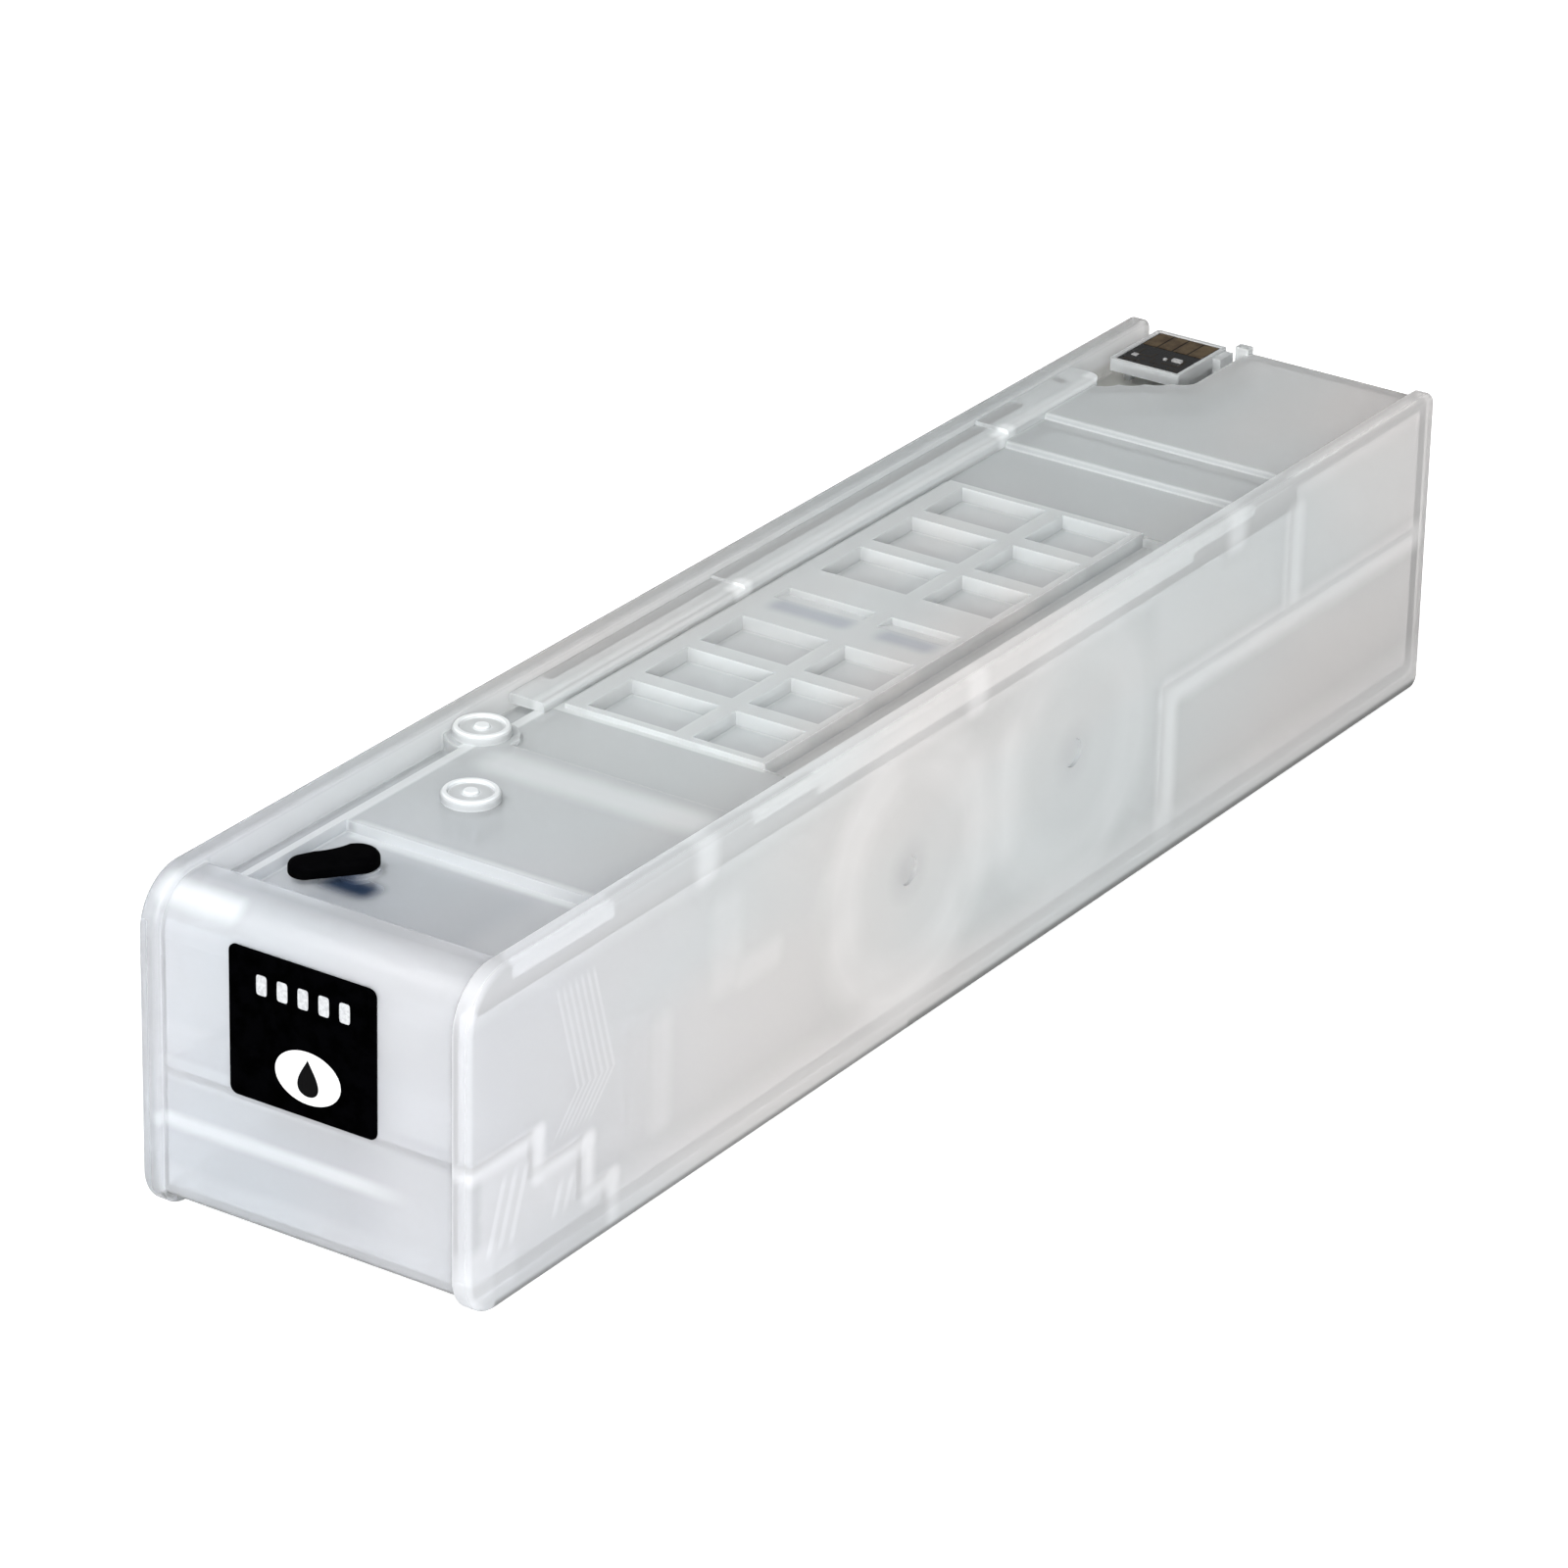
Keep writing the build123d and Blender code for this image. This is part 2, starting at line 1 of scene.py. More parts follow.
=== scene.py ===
"""Looks of a long refillable inkjet ink cartridge in frosted plastic.

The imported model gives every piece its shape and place. This script dresses each of them, adds what is
printed on the front label and etched on the chip board, and sets up the floor, the light and the camera.
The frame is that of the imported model: X across, Y along, Z up. The studio is in metres. Zones, marks and
the weld bead are in millimetres, and are turned into metres by MM.
"""

import functools
import logging
import math
from dataclasses import dataclass
from enum import Enum

import bpy
import numpy as np
from mathutils import Matrix, Vector

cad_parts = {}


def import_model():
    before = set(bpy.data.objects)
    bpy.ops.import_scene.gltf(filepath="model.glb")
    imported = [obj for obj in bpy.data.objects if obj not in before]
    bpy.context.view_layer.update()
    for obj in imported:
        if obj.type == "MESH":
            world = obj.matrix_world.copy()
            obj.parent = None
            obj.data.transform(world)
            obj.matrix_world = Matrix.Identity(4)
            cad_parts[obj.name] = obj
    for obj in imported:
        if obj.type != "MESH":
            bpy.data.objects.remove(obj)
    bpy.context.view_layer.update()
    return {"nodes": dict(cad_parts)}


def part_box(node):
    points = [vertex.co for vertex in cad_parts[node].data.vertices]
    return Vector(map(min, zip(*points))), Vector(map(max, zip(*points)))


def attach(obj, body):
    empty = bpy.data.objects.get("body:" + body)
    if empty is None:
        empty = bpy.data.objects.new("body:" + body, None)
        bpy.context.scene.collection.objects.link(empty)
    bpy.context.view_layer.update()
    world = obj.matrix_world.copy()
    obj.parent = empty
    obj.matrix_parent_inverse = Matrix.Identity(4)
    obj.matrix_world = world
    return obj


MM = 0.001
BODY = "root"

log = logging.getLogger("cartridge")

Colour = tuple[float, float, float]
Place = tuple[float, float, float]
Range = tuple[float, float]
Socket = bpy.types.NodeSocket
Pieces = dict[str, bpy.types.Object]

RIGHT: Place = (1.0, 0.0, 0.0)
BACK: Place = (0.0, 1.0, 0.0)
UPRIGHT: Place = (0.0, 0.0, 1.0)
NONE_TO_ALL: Range = (0.0, 1.0)
ALL_TO_NONE: Range = (1.0, 0.0)


def linear(red: int, green: int, blue: int) -> Colour:
    """The linear colour of a screen colour given as three numbers from 0 to 255.

    Args:
        red: The red part.
        green: The green part.
        blue: The blue part.

    Returns:
        The three parts after the screen's curve is taken off: x / 12.92 when dark, else
        ((x + 0.055) / 1.055) to the power 2.4.
    """
    parts = (value / 255 for value in (red, green, blue))
    return tuple(p / 12.92 if p <= 0.04045 else ((p + 0.055) / 1.055) ** 2.4 for p in parts)


class Axis(Enum):
    """The axis that a pattern runs along, as the place of its part in a vector."""

    ALONG = 1
    UP = 2


class Nodes:
    """One node tree, with short ways to add and join its nodes."""

    def __init__(self, tree: bpy.types.NodeTree) -> None:
        """Takes the tree that the nodes go into.

        Args:
            tree: The tree of a material or of the sky.
        """
        self.tree = tree

    def add(self, kind: str) -> bpy.types.Node:
        """Adds a node of the kind that is named."""
        return self.tree.nodes.new(kind)

    def join(self, source: Socket, target: Socket) -> None:
        """Joins two sockets."""
        self.tree.links.new(source, target)

    def feed(self, socket: Socket, value: Socket | float | Colour) -> None:
        """Gives a socket a plain value or another node's result.

        Args:
            socket: The socket.
            value: The number, the colour or vector, or the result.
        """
        if isinstance(value, bpy.types.NodeSocket):
            self.join(value, socket)
        elif socket.type == "RGBA":
            socket.default_value = (*value, 1.0)
        else:
            socket.default_value = value

    def math(self, operation: str, *values: Socket | float, clamp: bool = False) -> Socket:
        """An operation on numbers or on other nodes' results.

        Args:
            operation: The Math node's operation.
            values: Its two or three inputs.
            clamp: Keeps the result between 0 and 1.

        Returns:
            The result's socket.
        """
        node = self.add("ShaderNodeMath")
        node.operation = operation
        node.use_clamp = clamp
        for socket, value in zip(node.inputs, values):
            self.feed(socket, value)
        return node.outputs[0]

    def vector(self, operation: str, *values: Socket | Place) -> Socket:
        """An operation on vectors.

        Args:
            operation: The Vector Math node's operation.
            values: Its inputs.

        Returns:
            The result's socket, a number for LENGTH, DISTANCE and DOT_PRODUCT.
        """
        node = self.add("ShaderNodeVectorMath")
        node.operation = operation
        for socket, value in zip(node.inputs, values):
            self.feed(socket, value)
        return node.outputs["Value" if operation in ("LENGTH", "DISTANCE", "DOT_PRODUCT") else "Vector"]

    def spread(self, source: Socket, given: Range, wanted: Range) -> Socket:
        """A value mapped softly from one range to another, and held inside it.

        Args:
            source: The value.
            given: The two ends of its range.
            wanted: What the two ends become.

        Returns:
            The mapped value's socket.
        """
        node = self.add("ShaderNodeMapRange")
        node.interpolation_type = "SMOOTHSTEP"
        for socket, value in zip(node.inputs, (source, *given, *wanted)):
            self.feed(socket, value)
        return node.outputs[0]


class Shader(Nodes):
    """The node tree of one material with a Principled shader.

    Attributes:
        edge_lean: The cosines of a rounded normal's lean at which an edge is full and at which it ends.
        edge_samples: How many samples the rounded normal takes.
    """

    edge_lean: Range = (0.7, 0.985)
    edge_samples: int = 2

    def __init__(self, name: str) -> None:
        """Starts a material.

        Args:
            name: The material's name.
        """
        self.material = bpy.data.materials.new(name)
        self.material.use_nodes = True
        super().__init__(self.material.node_tree)
        self.tree.nodes.clear()
        self.output = self.add("ShaderNodeOutputMaterial")
        self.surface = self.add("ShaderNodeBsdfPrincipled")
        self.join(self.surface.outputs[0], self.output.inputs["Surface"])
        self.place = self.add("ShaderNodeTexCoord").outputs["Object"]

    def set(self, **values: float | Colour) -> None:
        """Sets plain values on the Principled shader's own sockets.

        Args:
            values: The sockets' names with _ for each space, and their values.
        """
        for name, value in values.items():
            self.feed(self.surface.inputs[name.replace("_", " ")], value)

    def drive(self, name: str, source: Socket) -> None:
        """Joins a pattern to one of the Principled shader's sockets."""
        self.join(source, self.surface.inputs[name])

    def part(self, axis: Axis) -> Socket:
        """The place along one axis, in metres.

        Args:
            axis: The axis.

        Returns:
            The part's socket.
        """
        node = self.add("ShaderNodeSeparateXYZ")
        self.join(self.place, node.inputs[0])
        return node.outputs[axis.value]

    def stretched(self, scale: Place) -> Socket:
        """The place with each axis scaled.

        Args:
            scale: The three scales.

        Returns:
            The mapped place's socket.
        """
        node = self.add("ShaderNodeMapping")
        self.join(self.place, node.inputs["Vector"])
        node.inputs["Scale"].default_value = scale
        return node.outputs[0]

    def noise(self, size: float, detail: float, rough: float, place: Socket | None = None) -> Socket:
        """Soft noise between about 0.3 and 0.7.

        Args:
            size: The size of one blot, in metres.
            detail: How many finer layers are added.
            rough: How strong the finer layers are.
            place: Where it is read, or None for the plain place.

        Returns:
            The noise's socket.
        """
        node = self.add("ShaderNodeTexNoise")
        self.join(place or self.place, node.inputs["Vector"])
        node.inputs["Scale"].default_value = 1.0 / size
        node.inputs["Detail"].default_value = detail
        node.inputs["Roughness"].default_value = rough
        return node.outputs["Fac"]

    def blend(self, share: Socket | float, first: Socket | Colour, second: Socket | Colour) -> Socket:
        """Two colours mixed by a share.

        Args:
            share: 0 for the first colour, 1 for the second.
            first: The first colour.
            second: The second colour.

        Returns:
            The mixed colour's socket.
        """
        node = self.add("ShaderNodeMix")
        node.data_type = "RGBA"
        self.feed(node.inputs[0], share)
        self.feed(node.inputs[6], first)
        self.feed(node.inputs[7], second)
        return node.outputs[2]

    def slide(self, share: Socket | float, value: Socket | float, target: float) -> Socket:
        """A value moved towards another by a share.

        Args:
            share: 0 keeps the value, 1 gives the other.
            value: The value.
            target: The other value.

        Returns:
            The moved value's socket.
        """
        node = self.add("ShaderNodeMix")
        for socket, given in zip((node.inputs[0], node.inputs[2], node.inputs[3]), (share, value, target)):
            self.feed(socket, given)
        return node.outputs[0]

    def in_box(self, low: Place, high: Place, soft: float) -> Socket:
        """1 inside a box, falling softly to 0 as the distance to the box grows to soft.

        The box's point nearest to a place is max(low, min(place, high)), part by part.

        Args:
            low: The box's lowest corner, in millimetres.
            high: Its highest corner, in millimetres.
            soft: The distance outside it at which nothing is left, in millimetres.

        Returns:
            The share's socket.
        """
        nearest = self.vector("MINIMUM", self.place, tuple(value * MM for value in high))
        nearest = self.vector("MAXIMUM", nearest, tuple(value * MM for value in low))
        return self.spread(self.vector("DISTANCE", self.place, nearest), (0.0, soft * MM), ALL_TO_NONE)

    def edge(self, radius: float) -> Socket:
        """1 along the edges of the moulding and 0 on its flat faces, from how far a rounded normal leans.

        Args:
            radius: How wide the band along an edge is, in millimetres.

        Returns:
            The share's socket.
        """
        rounded = self.add("ShaderNodeBevel")
        rounded.samples = self.edge_samples
        rounded.inputs["Radius"].default_value = radius * MM
        flat = self.add("ShaderNodeNewGeometry").outputs["Normal"]
        lean = self.vector("DOT_PRODUCT", rounded.outputs[0], flat)
        return self.spread(lean, self.edge_lean, ALL_TO_NONE)

    def ramp(self, source: Socket, stops: tuple[Range, ...]) -> Socket:
        """A value read from a curve of straight runs.

        Args:
            source: Where the curve is read, from 0 to 1.
            stops: The curve's places and values.

        Returns:
            The read value's socket.
        """
        node = self.add("ShaderNodeValToRGB")
        bands = node.color_ramp.elements
        while len(bands) < len(stops):
            bands.new(0.5)
        for band, (place, value) in zip(bands, stops):
            band.position = place
            band.color = (value, value, value, 1.0)
        self.join(source, node.inputs[0])
        return node.outputs[0]


@dataclass(frozen=True)
class Zone:
    """A box-shaped part of a moulding that is whiter than the rest: as thick or welded plastic is, and in
    some zones as a painted highlight.

    Attributes:
        low: The box's lowest corner, in millimetres.
        high: Its highest corner, in millimetres.
        soft: How far outside the box it fades out, in millimetres.
        share: How white it is there, or how much of the effect that it is used for holds there.
    """

    low: Place
    high: Place
    soft: float
    share: float


@dataclass(frozen=True)
class GateRound:
    """The round about a mould gate: dark at its middle, cloudy towards its rim. In millimetres.

    Attributes:
        along: The place of its middle along the plate.
        up: The height of its middle.
        reach: The distance from its middle at which it ends.
        neutral: The value of the curve that changes nothing.
        stops: The curve from the middle to the end: shares of the reach, and values.
    """

    along: float
    up: float
    reach: float = 24.0
    neutral: float = 0.5
    stops: tuple[Range, ...] = (
        (0.0, 0.42),
        (0.1, 0.45),
        (0.24, 0.53),
        (0.45, 0.56),
        (0.62, 0.65),
        (0.78, 0.65),
        (0.94, 0.52),
        (1.0, 0.5),
    )

    def share(self, shader: Shader) -> Socket:
        """How much cloudier the round is than the plate, from the distance to its middle along the plate.

        Args:
            shader: The material that it is part of.

        Returns:
            The share's socket.
        """
        offset = shader.vector("SUBTRACT", shader.place, (0.0, self.along * MM, self.up * MM))
        flat = shader.vector("MULTIPLY", offset, (0.0, 1.0 / self.reach / MM, 1.0 / self.reach / MM))
        return shader.math("SUBTRACT", shader.ramp(shader.vector("LENGTH", flat), self.stops), self.neutral)


@dataclass(frozen=True)
class Ripples:
    """Flow marks beside each other in a plate, bent at one height, as cloudier lines. In millimetres.

    Attributes:
        along: The place of the rearmost line at the bend.
        bend: The height of the bend.
        above: How far a line goes forward for each millimetre above the bend.
        below: The same below the bend.
        pitch: The distance between two lines.
        count: How many lines there are.
        low: The height of their lower ends.
        high: The height of their upper ends.
        strength: How much cloudier a line is.
        wave: The part of a cosine's height that makes a line, from its rim to its crest.
        side_fade: The share of the pitch over which the outermost lines fade.
        end_fade: The length over which the lines' ends fade.
    """

    along: float
    bend: float
    above: float
    below: float
    pitch: float
    count: int
    low: float
    high: float
    strength: float
    wave: Range = (-0.7, 1.0)
    side_fade: float = 0.4
    end_fade: float = 2.0

    def share(self, shader: Shader) -> Socket:
        """How much cloudier the plate is: a cosine of the distance from the rearmost line over the pitch.

        Args:
            shader: The material that they are part of.

        Returns:
            The share's socket.
        """
        up = shader.math("MULTIPLY_ADD", shader.part(Axis.UP), 1.0 / MM, -self.bend)
        forward = shader.math("MULTIPLY", shader.math("MAXIMUM", up, 0.0), self.above)
        forward = shader.math("MULTIPLY_ADD", shader.math("MINIMUM", up, 0.0), -self.below, forward)
        here = shader.math("MULTIPLY_ADD", shader.part(Axis.ALONG), 1.0 / MM, -self.along)
        turns = shader.math("DIVIDE", shader.math("ADD", here, forward), self.pitch)
        wave = shader.math("COSINE", shader.math("MULTIPLY", turns, 2.0 * math.pi))
        lines = shader.spread(wave, self.wave, (0.0, self.strength))
        middle = shader.math("ABSOLUTE", shader.math("ADD", turns, (self.count - 1) / 2))
        sides = shader.spread(middle, (self.count / 2 - self.side_fade, self.count / 2), ALL_TO_NONE)
        centre = shader.math("ABSOLUTE", shader.math("ADD", up, self.bend - (self.low + self.high) / 2))
        half = (self.high - self.low) / 2
        ends = shader.spread(centre, (half - self.end_fade, half), ALL_TO_NONE)
        return shader.math("MULTIPLY", shader.math("MULTIPLY", lines, sides), ends)


@dataclass(frozen=True)
class ShadePatch:
    """A patch of painted shade in the plastic's colour: along its feet, in its recesses and beside the fill
    plug.
    """

    place: Zone
    colour: Colour


@dataclass(frozen=True)
class FrostedPlastic:
    """Natural polypropylene: milky, and clear enough to show the walls behind it as soft shapes.

    Attributes:
        name: The finish's name.
        zones: The whiter parts.
        rounds: The rounds about mould gates.
        polished: Where its face is glossier.
        ripples: The flow marks.
        calm: Where its edges aren't whiter than the faces beside them.
        shade_patches: Where shade is painted into its colour.
        cool: The colour of one kind of cloud in it.
        warm: The colour of the other kind.
        blue: The bluer colour of the front end.
        blue_share: How much of that colour is there at most.
        blue_reach: The places along the cartridge where it is strongest and where it has gone, in metres.
        flow: The scales that stretch the clouds along the cartridge, as the plastic flowed.
        cloud: The size of a cloud, in metres.
        cloud_span: The part of the noise that turns one cloud into the other.
        blot: The size of the blots in the rounds, in metres.
        blot_span: The part of the noise that goes from a weak blot to a strong one.
        blot_gain: How strong a round is in a weak blot and in a strong one.
        clear: How much light goes through where it has no haze.
        hazy: How much goes through where it has full haze.
        milk: The haze of its faces.
        edge_width: The width of the haze along an edge, in millimetres.
        edge_share: The haze of an edge.
        rough: The roughness of its faces.
        gloss: The roughness where it is polished.
        index: The index of refraction.
    """

    name: str
    zones: tuple[Zone, ...] = ()
    rounds: tuple[GateRound, ...] = ()
    polished: tuple[Zone, ...] = ()
    ripples: tuple[Ripples, ...] = ()
    calm: tuple[Zone, ...] = ()
    shade_patches: tuple[ShadePatch, ...] = ()
    cool: Colour = linear(246, 250, 251)
    warm: Colour = linear(252, 250, 249)
    blue: Colour = linear(241, 245, 252)
    blue_share: float = 0.6
    blue_reach: Range = (-125 * MM, -45 * MM)
    flow: Place = (1.0, 0.35, 1.0)
    cloud: float = 38 * MM
    cloud_span: Range = (0.38, 0.62)
    blot: float = 18 * MM
    blot_span: Range = (0.36, 0.64)
    blot_gain: Range = (0.65, 1.25)
    clear: float = 0.78
    hazy: float = 0.05
    milk: float = 0.15
    edge_width: float = 0.9
    edge_share: float = 0.6
    rough: float = 0.34
    gloss: float = 0.18
    index: float = 1.4

    def zone_share(self, shader: Shader, zones: tuple[Zone, ...], outside: Socket | float) -> Socket | float:
        """The share that several zones give, each laid softly over those before it.

        Args:
            shader: The material that they are part of.
            zones: The zones.
            outside: What holds outside them all.

        Returns:
            The share.
        """
        share = outside
        for zone in zones:
            share = shader.slide(shader.in_box(zone.low, zone.high, zone.soft), share, zone.share)
        return share

    def colour(self, shader: Shader) -> Socket:
        """Cool and warm clouds along the flow of the moulding, a blue tint at the front, and the patches of
        painted shade.

        Args:
            shader: The material that it is part of.

        Returns:
            The colour's socket.
        """
        clouds = shader.noise(self.cloud, detail=2.0, rough=0.45, place=shader.stretched(self.flow))
        body = shader.blend(shader.spread(clouds, self.cloud_span, NONE_TO_ALL), self.cool, self.warm)
        front = shader.spread(shader.part(Axis.ALONG), self.blue_reach, (self.blue_share, 0.0))
        colour = shader.blend(front, body, self.blue)
        # Painted shade: each patch blends the colour towards a darker grey or blue where shade falls
        for shaded_spot in self.shade_patches:
            colour = shader.blend(self.zone_share(shader, (shaded_spot.place,), 0.0), colour, shaded_spot.colour)
        return colour

    def haze(self, shader: Shader) -> Socket:
        """How white the plastic is: at its edges, in its zones, in the rounds and along the flow marks.

        Args:
            shader: The material that it is part of.

        Returns:
            The haze's socket.
        """
        edges = shader.math("MULTIPLY", shader.edge(self.edge_width), self.edge_share)
        if self.calm:
            still = shader.math("SUBTRACT", 1.0, self.zone_share(shader, self.calm, 0.0))
            edges = shader.math("MULTIPLY", edges, still)
        haze = shader.math("MAXIMUM", edges, self.zone_share(shader, self.zones, self.milk))
        if self.rounds:
            blots = shader.noise(self.blot, detail=1.0, rough=0.5)
            gain = shader.spread(blots, self.blot_span, self.blot_gain)
            for gate in self.rounds:
                haze = shader.math("MULTIPLY_ADD", gate.share(shader), gain, haze, clamp=True)
        for marks in self.ripples:
            haze = shader.math("ADD", haze, marks.share(shader), clamp=True)
        return haze

    def make(self) -> bpy.types.Material:
        """Builds the material.

        Returns:
            The material, which lets through clear + haze times (hazy - clear) of the light.
        """
        shader = Shader(self.name)
        shader.drive("Base Color", self.colour(shader))
        through = shader.math("MULTIPLY_ADD", self.haze(shader), self.hazy - self.clear, self.clear)
        shader.drive("Transmission Weight", through)
        if self.polished:
            polish = self.zone_share(shader, self.polished, 0.0)
            shader.drive("Roughness", shader.spread(polish, NONE_TO_ALL, (self.rough, self.gloss)))
        else:
            shader.set(Roughness=self.rough)
        shader.set(IOR=self.index, Specular_IOR_Level=0.5)
        return shader.material


@dataclass(frozen=True)
class PlainFinish:
    """A finish with two near colours, mottled.

    Attributes:
        name: The finish's name.
        light: The lighter colour.
        dark: The darker colour.
        rough: The middle of its roughness.
        metal: 1 for bare metal.
        clear: How much light goes through.
        shine: How strong its reflection is.
        size: The size of the mottles, in metres.
        colour_span: The part of the noise that goes from the dark colour to the light one.
        rough_span: The part of the noise that goes from smooth to rough.
        rough_step: How far the roughness goes to either side of its middle.
    """

    name: str
    light: Colour
    dark: Colour
    rough: float = 0.5
    metal: float = 0.0
    clear: float = 0.0
    shine: float = 0.5
    size: float = 2 * MM
    colour_span: Range = (0.35, 0.65)
    rough_span: Range = (0.3, 0.7)
    rough_step: float = 0.05

    def make(self) -> bpy.types.Material:
        """Builds the material.

        Returns:
            The material.
        """
        shader = Shader(self.name)
        mottle = shader.noise(self.size, detail=3.0, rough=0.6)
        share = shader.spread(mottle, self.colour_span, NONE_TO_ALL)
        shader.drive("Base Color", shader.blend(share, self.dark, self.light))
        rough = (self.rough - self.rough_step, self.rough + self.rough_step)
        shader.drive("Roughness", shader.spread(mottle, self.rough_span, rough))
        shader.set(Metallic=self.metal, Transmission_Weight=self.clear, Specular_IOR_Level=self.shine)
        return shader.material


Finish = FrostedPlastic | PlainFinish


@functools.cache
def material_of(finish: Finish) -> bpy.types.Material:
    """The finish's material, built the first time that a piece asks for it."""
    return finish.make()


def dress(piece: bpy.types.Object, finish: Finish) -> None:
    """Gives a piece its finish in every slot, and reports it.

    Args:
        piece: The piece.
        finish: The finish.
    """
    if not piece.material_slots:
        piece.data.materials.append(material_of(finish))
    for slot in piece.material_slots:
        slot.material = material_of(finish)
    log.info("dressed %s in %s", piece.name, finish.name)


@dataclass(frozen=True)
class Face:
    """A flat face that marks lie on: a point on it, and the directions across and up it seen from outside."""

    origin: Place
    across: Place
    up: Place

    def place(self, flat: np.ndarray, height: float) -> np.ndarray:
        """Points over the face: origin + x times across + y times up + height times their cross product.

        Args:
            flat: N rows of x and y on the face, in millimetres.
            height: The height above it, in millimetres.

        Returns:
            N rows of X, Y and Z in metres.
        """
        across, up = np.array(self.across), np.array(self.up)
        out = np.cross(across, up)
        points = np.outer(flat[:, 0], across) + np.outer(flat[:, 1], up) + height * out
        return (points + np.array(self.origin)) * MM


def mesh_object(
    name: str, points: np.ndarray, faces: list[list[int]], smooth: bool = True
) -> bpy.types.Object:
    """Makes a new piece that rides on the cartridge.

    Args:
        name: The piece's name.
        points: N rows of X, Y and Z in metres.
        faces: The points of each face, counted round it seen from outside.
        smooth: Shades it smooth.

    Returns:
        The piece.
    """
    mesh = bpy.data.meshes.new(name)
    mesh.from_pydata(points, [], faces)
    mesh.polygons.foreach_set("use_smooth", np.full(len(mesh.polygons), smooth))
    mesh.update()
    piece = bpy.data.objects.new(name, mesh)
    bpy.context.scene.collection.objects.link(piece)
    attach(piece, BODY)
    log.info("made %s with %d faces", name, len(faces))
    return piece


def ring_faces(rings: int, around: int) -> np.ndarray:
    """The four-sided faces between closed rings of points that follow each other.

    Args:
        rings: How many rings there are.
        around: How many points a ring has.

    Returns:
        The faces, where the point j of ring i is numbered i times around + j.
    """
    i, j = np.meshgrid(np.arange(rings - 1), np.arange(around), indexing="ij")
    here, beside = i * around + j, i * around + (j + 1) % around
    return np.stack([here, beside, beside + around, here + around], -1).reshape(-1, 4)


# The rings of a raised mark: how high each stands and how far it is drawn in, as shares of its height
MARK_RIM = ((0.0, 0.0), (0.6, 0.0), (0.9, 0.3), (1.0, 1.0))


def raised_marks(name: str, face: Face, outlines: list[np.ndarray], height: float) -> bpy.types.Object:
    """A group of thin raised marks on a face, each with a softened rim.

    A mark is a ring of its outline for each pair in MARK_RIM: how high it stands, and how far it is drawn in,
    both as shares of the height. A ring drawn in by d is middle + (outline - middle) times (1 - d / reach),
    where reach is the mean distance of the outline from its middle. The two ends are closed.

    Args:
        name: The piece's name.
        face: The face that they lie on.
        outlines: Each mark's outline, N rows of x and y in millimetres, counted against the clock.
        height: How high they stand, in millimetres.

    Returns:
        The piece.
    """
    points, faces, used = [], [], 0
    for outline in outlines:
        count = len(outline)
        middle = outline.mean(0)
        reach = np.linalg.norm(outline - middle, axis=1).mean()
        for level, inset in MARK_RIM:
            ring = middle + (outline - middle) * (1 - inset * height / reach)
            points.append(face.place(ring, level * height))
        faces += (ring_faces(len(MARK_RIM), count) + used).tolist()
        top = used + (len(MARK_RIM) - 1) * count
        faces += [list(range(top, top + count)), list(range(used + count - 1, used - 1, -1))]
        used = top + count
    return mesh_object(name, np.concatenate(points), faces, smooth=False)


def rounded_bar(
    x: float, y: float, width: float, height: float, power: float = 6.0, count: int = 32
) -> np.ndarray:
    """A bar's outline as a superellipse: |x / a| and |y / b| to the power add up to 1.

    Args:
        x: The middle's place across.
        y: The middle's place upwards.
        width: The bar's width.
        height: Its height.
        power: 2 gives an ellipse, and more gives squarer corners.
        count: How many points it has.

    Returns:
        The outline, against the clock.
    """
    turn = np.linspace(0, 2 * np.pi, count, endpoint=False)
    wave = np.stack([np.cos(turn), np.sin(turn)], -1)
    return np.sign(wave) * np.abs(wave) ** (2 / power) * (width / 2, height / 2) + (x, y)


def drop_outline(x: float, y: float, width: float, height: float, count: int = 64) -> np.ndarray:
    """A falling drop's outline: up = cos t, across = - sin t times the 1.5th power of sin(t / 2).

    Args:
        x: The middle's place across.
        y: The middle's place upwards.
        width: The drop's width.
        height: Its height, with the tip on top.
        count: How many points it has.

    Returns:
        The outline, against the clock.
    """
    turn = np.linspace(0, 2 * np.pi, count, endpoint=False)
    across = -np.sin(turn) * np.sin(turn / 2) ** 1.5
    return np.stack([across / np.ptp(across) * width + x, np.cos(turn) * height / 2 + y], -1)


# Planes of the mouldings where many zones end, in millimetres
BOX_LEFT, BOX_RIGHT = -23.7, 23.7
FRONT_OUT, FRONT_IN = -123.4, -121.2
DECK_LOW = 44.0
GRID_FRONT, GRID_REAR, GRID_TOP = -43.0, 55.4, 46.9
# The same in the side cover: before its inner face, in its skin there, in most of it, and past its outer face
PLATE_IN, PLATE_SKIN, PLATE_DEEP, PLATE_OUT = 22.0, 23.6, 27.0, 28.0


def front_band(low: float, high: float, soft: float, share: float, right: float = BOX_RIGHT) -> Zone:
    """A level band on the front wall, from its left end.

    Args:
        low: Its lower height.
        high: Its upper height.
        soft: How far it fades out.
        share: How white it is.
        right: Where it ends on the right.

    Returns:
        The zone.
    """
    return Zone((BOX_LEFT, FRONT_OUT, low), (right, FRONT_IN, high), soft, share)


def plate_patch(low: Range, high: Range, soft: float, share: float, out: float = PLATE_DEEP) -> Zone:
    """A patch in the side cover, from its inner face to near its outer one.

    Args:
        low: The place along and the height of its lowest corner.
        high: The same for its highest corner.
        soft: How far it fades out.
        share: How white it is.
        out: Where it ends towards the outer face.

    Returns:
        The zone.
    """
    return Zone((PLATE_IN, *low), (out, *high), soft, share)


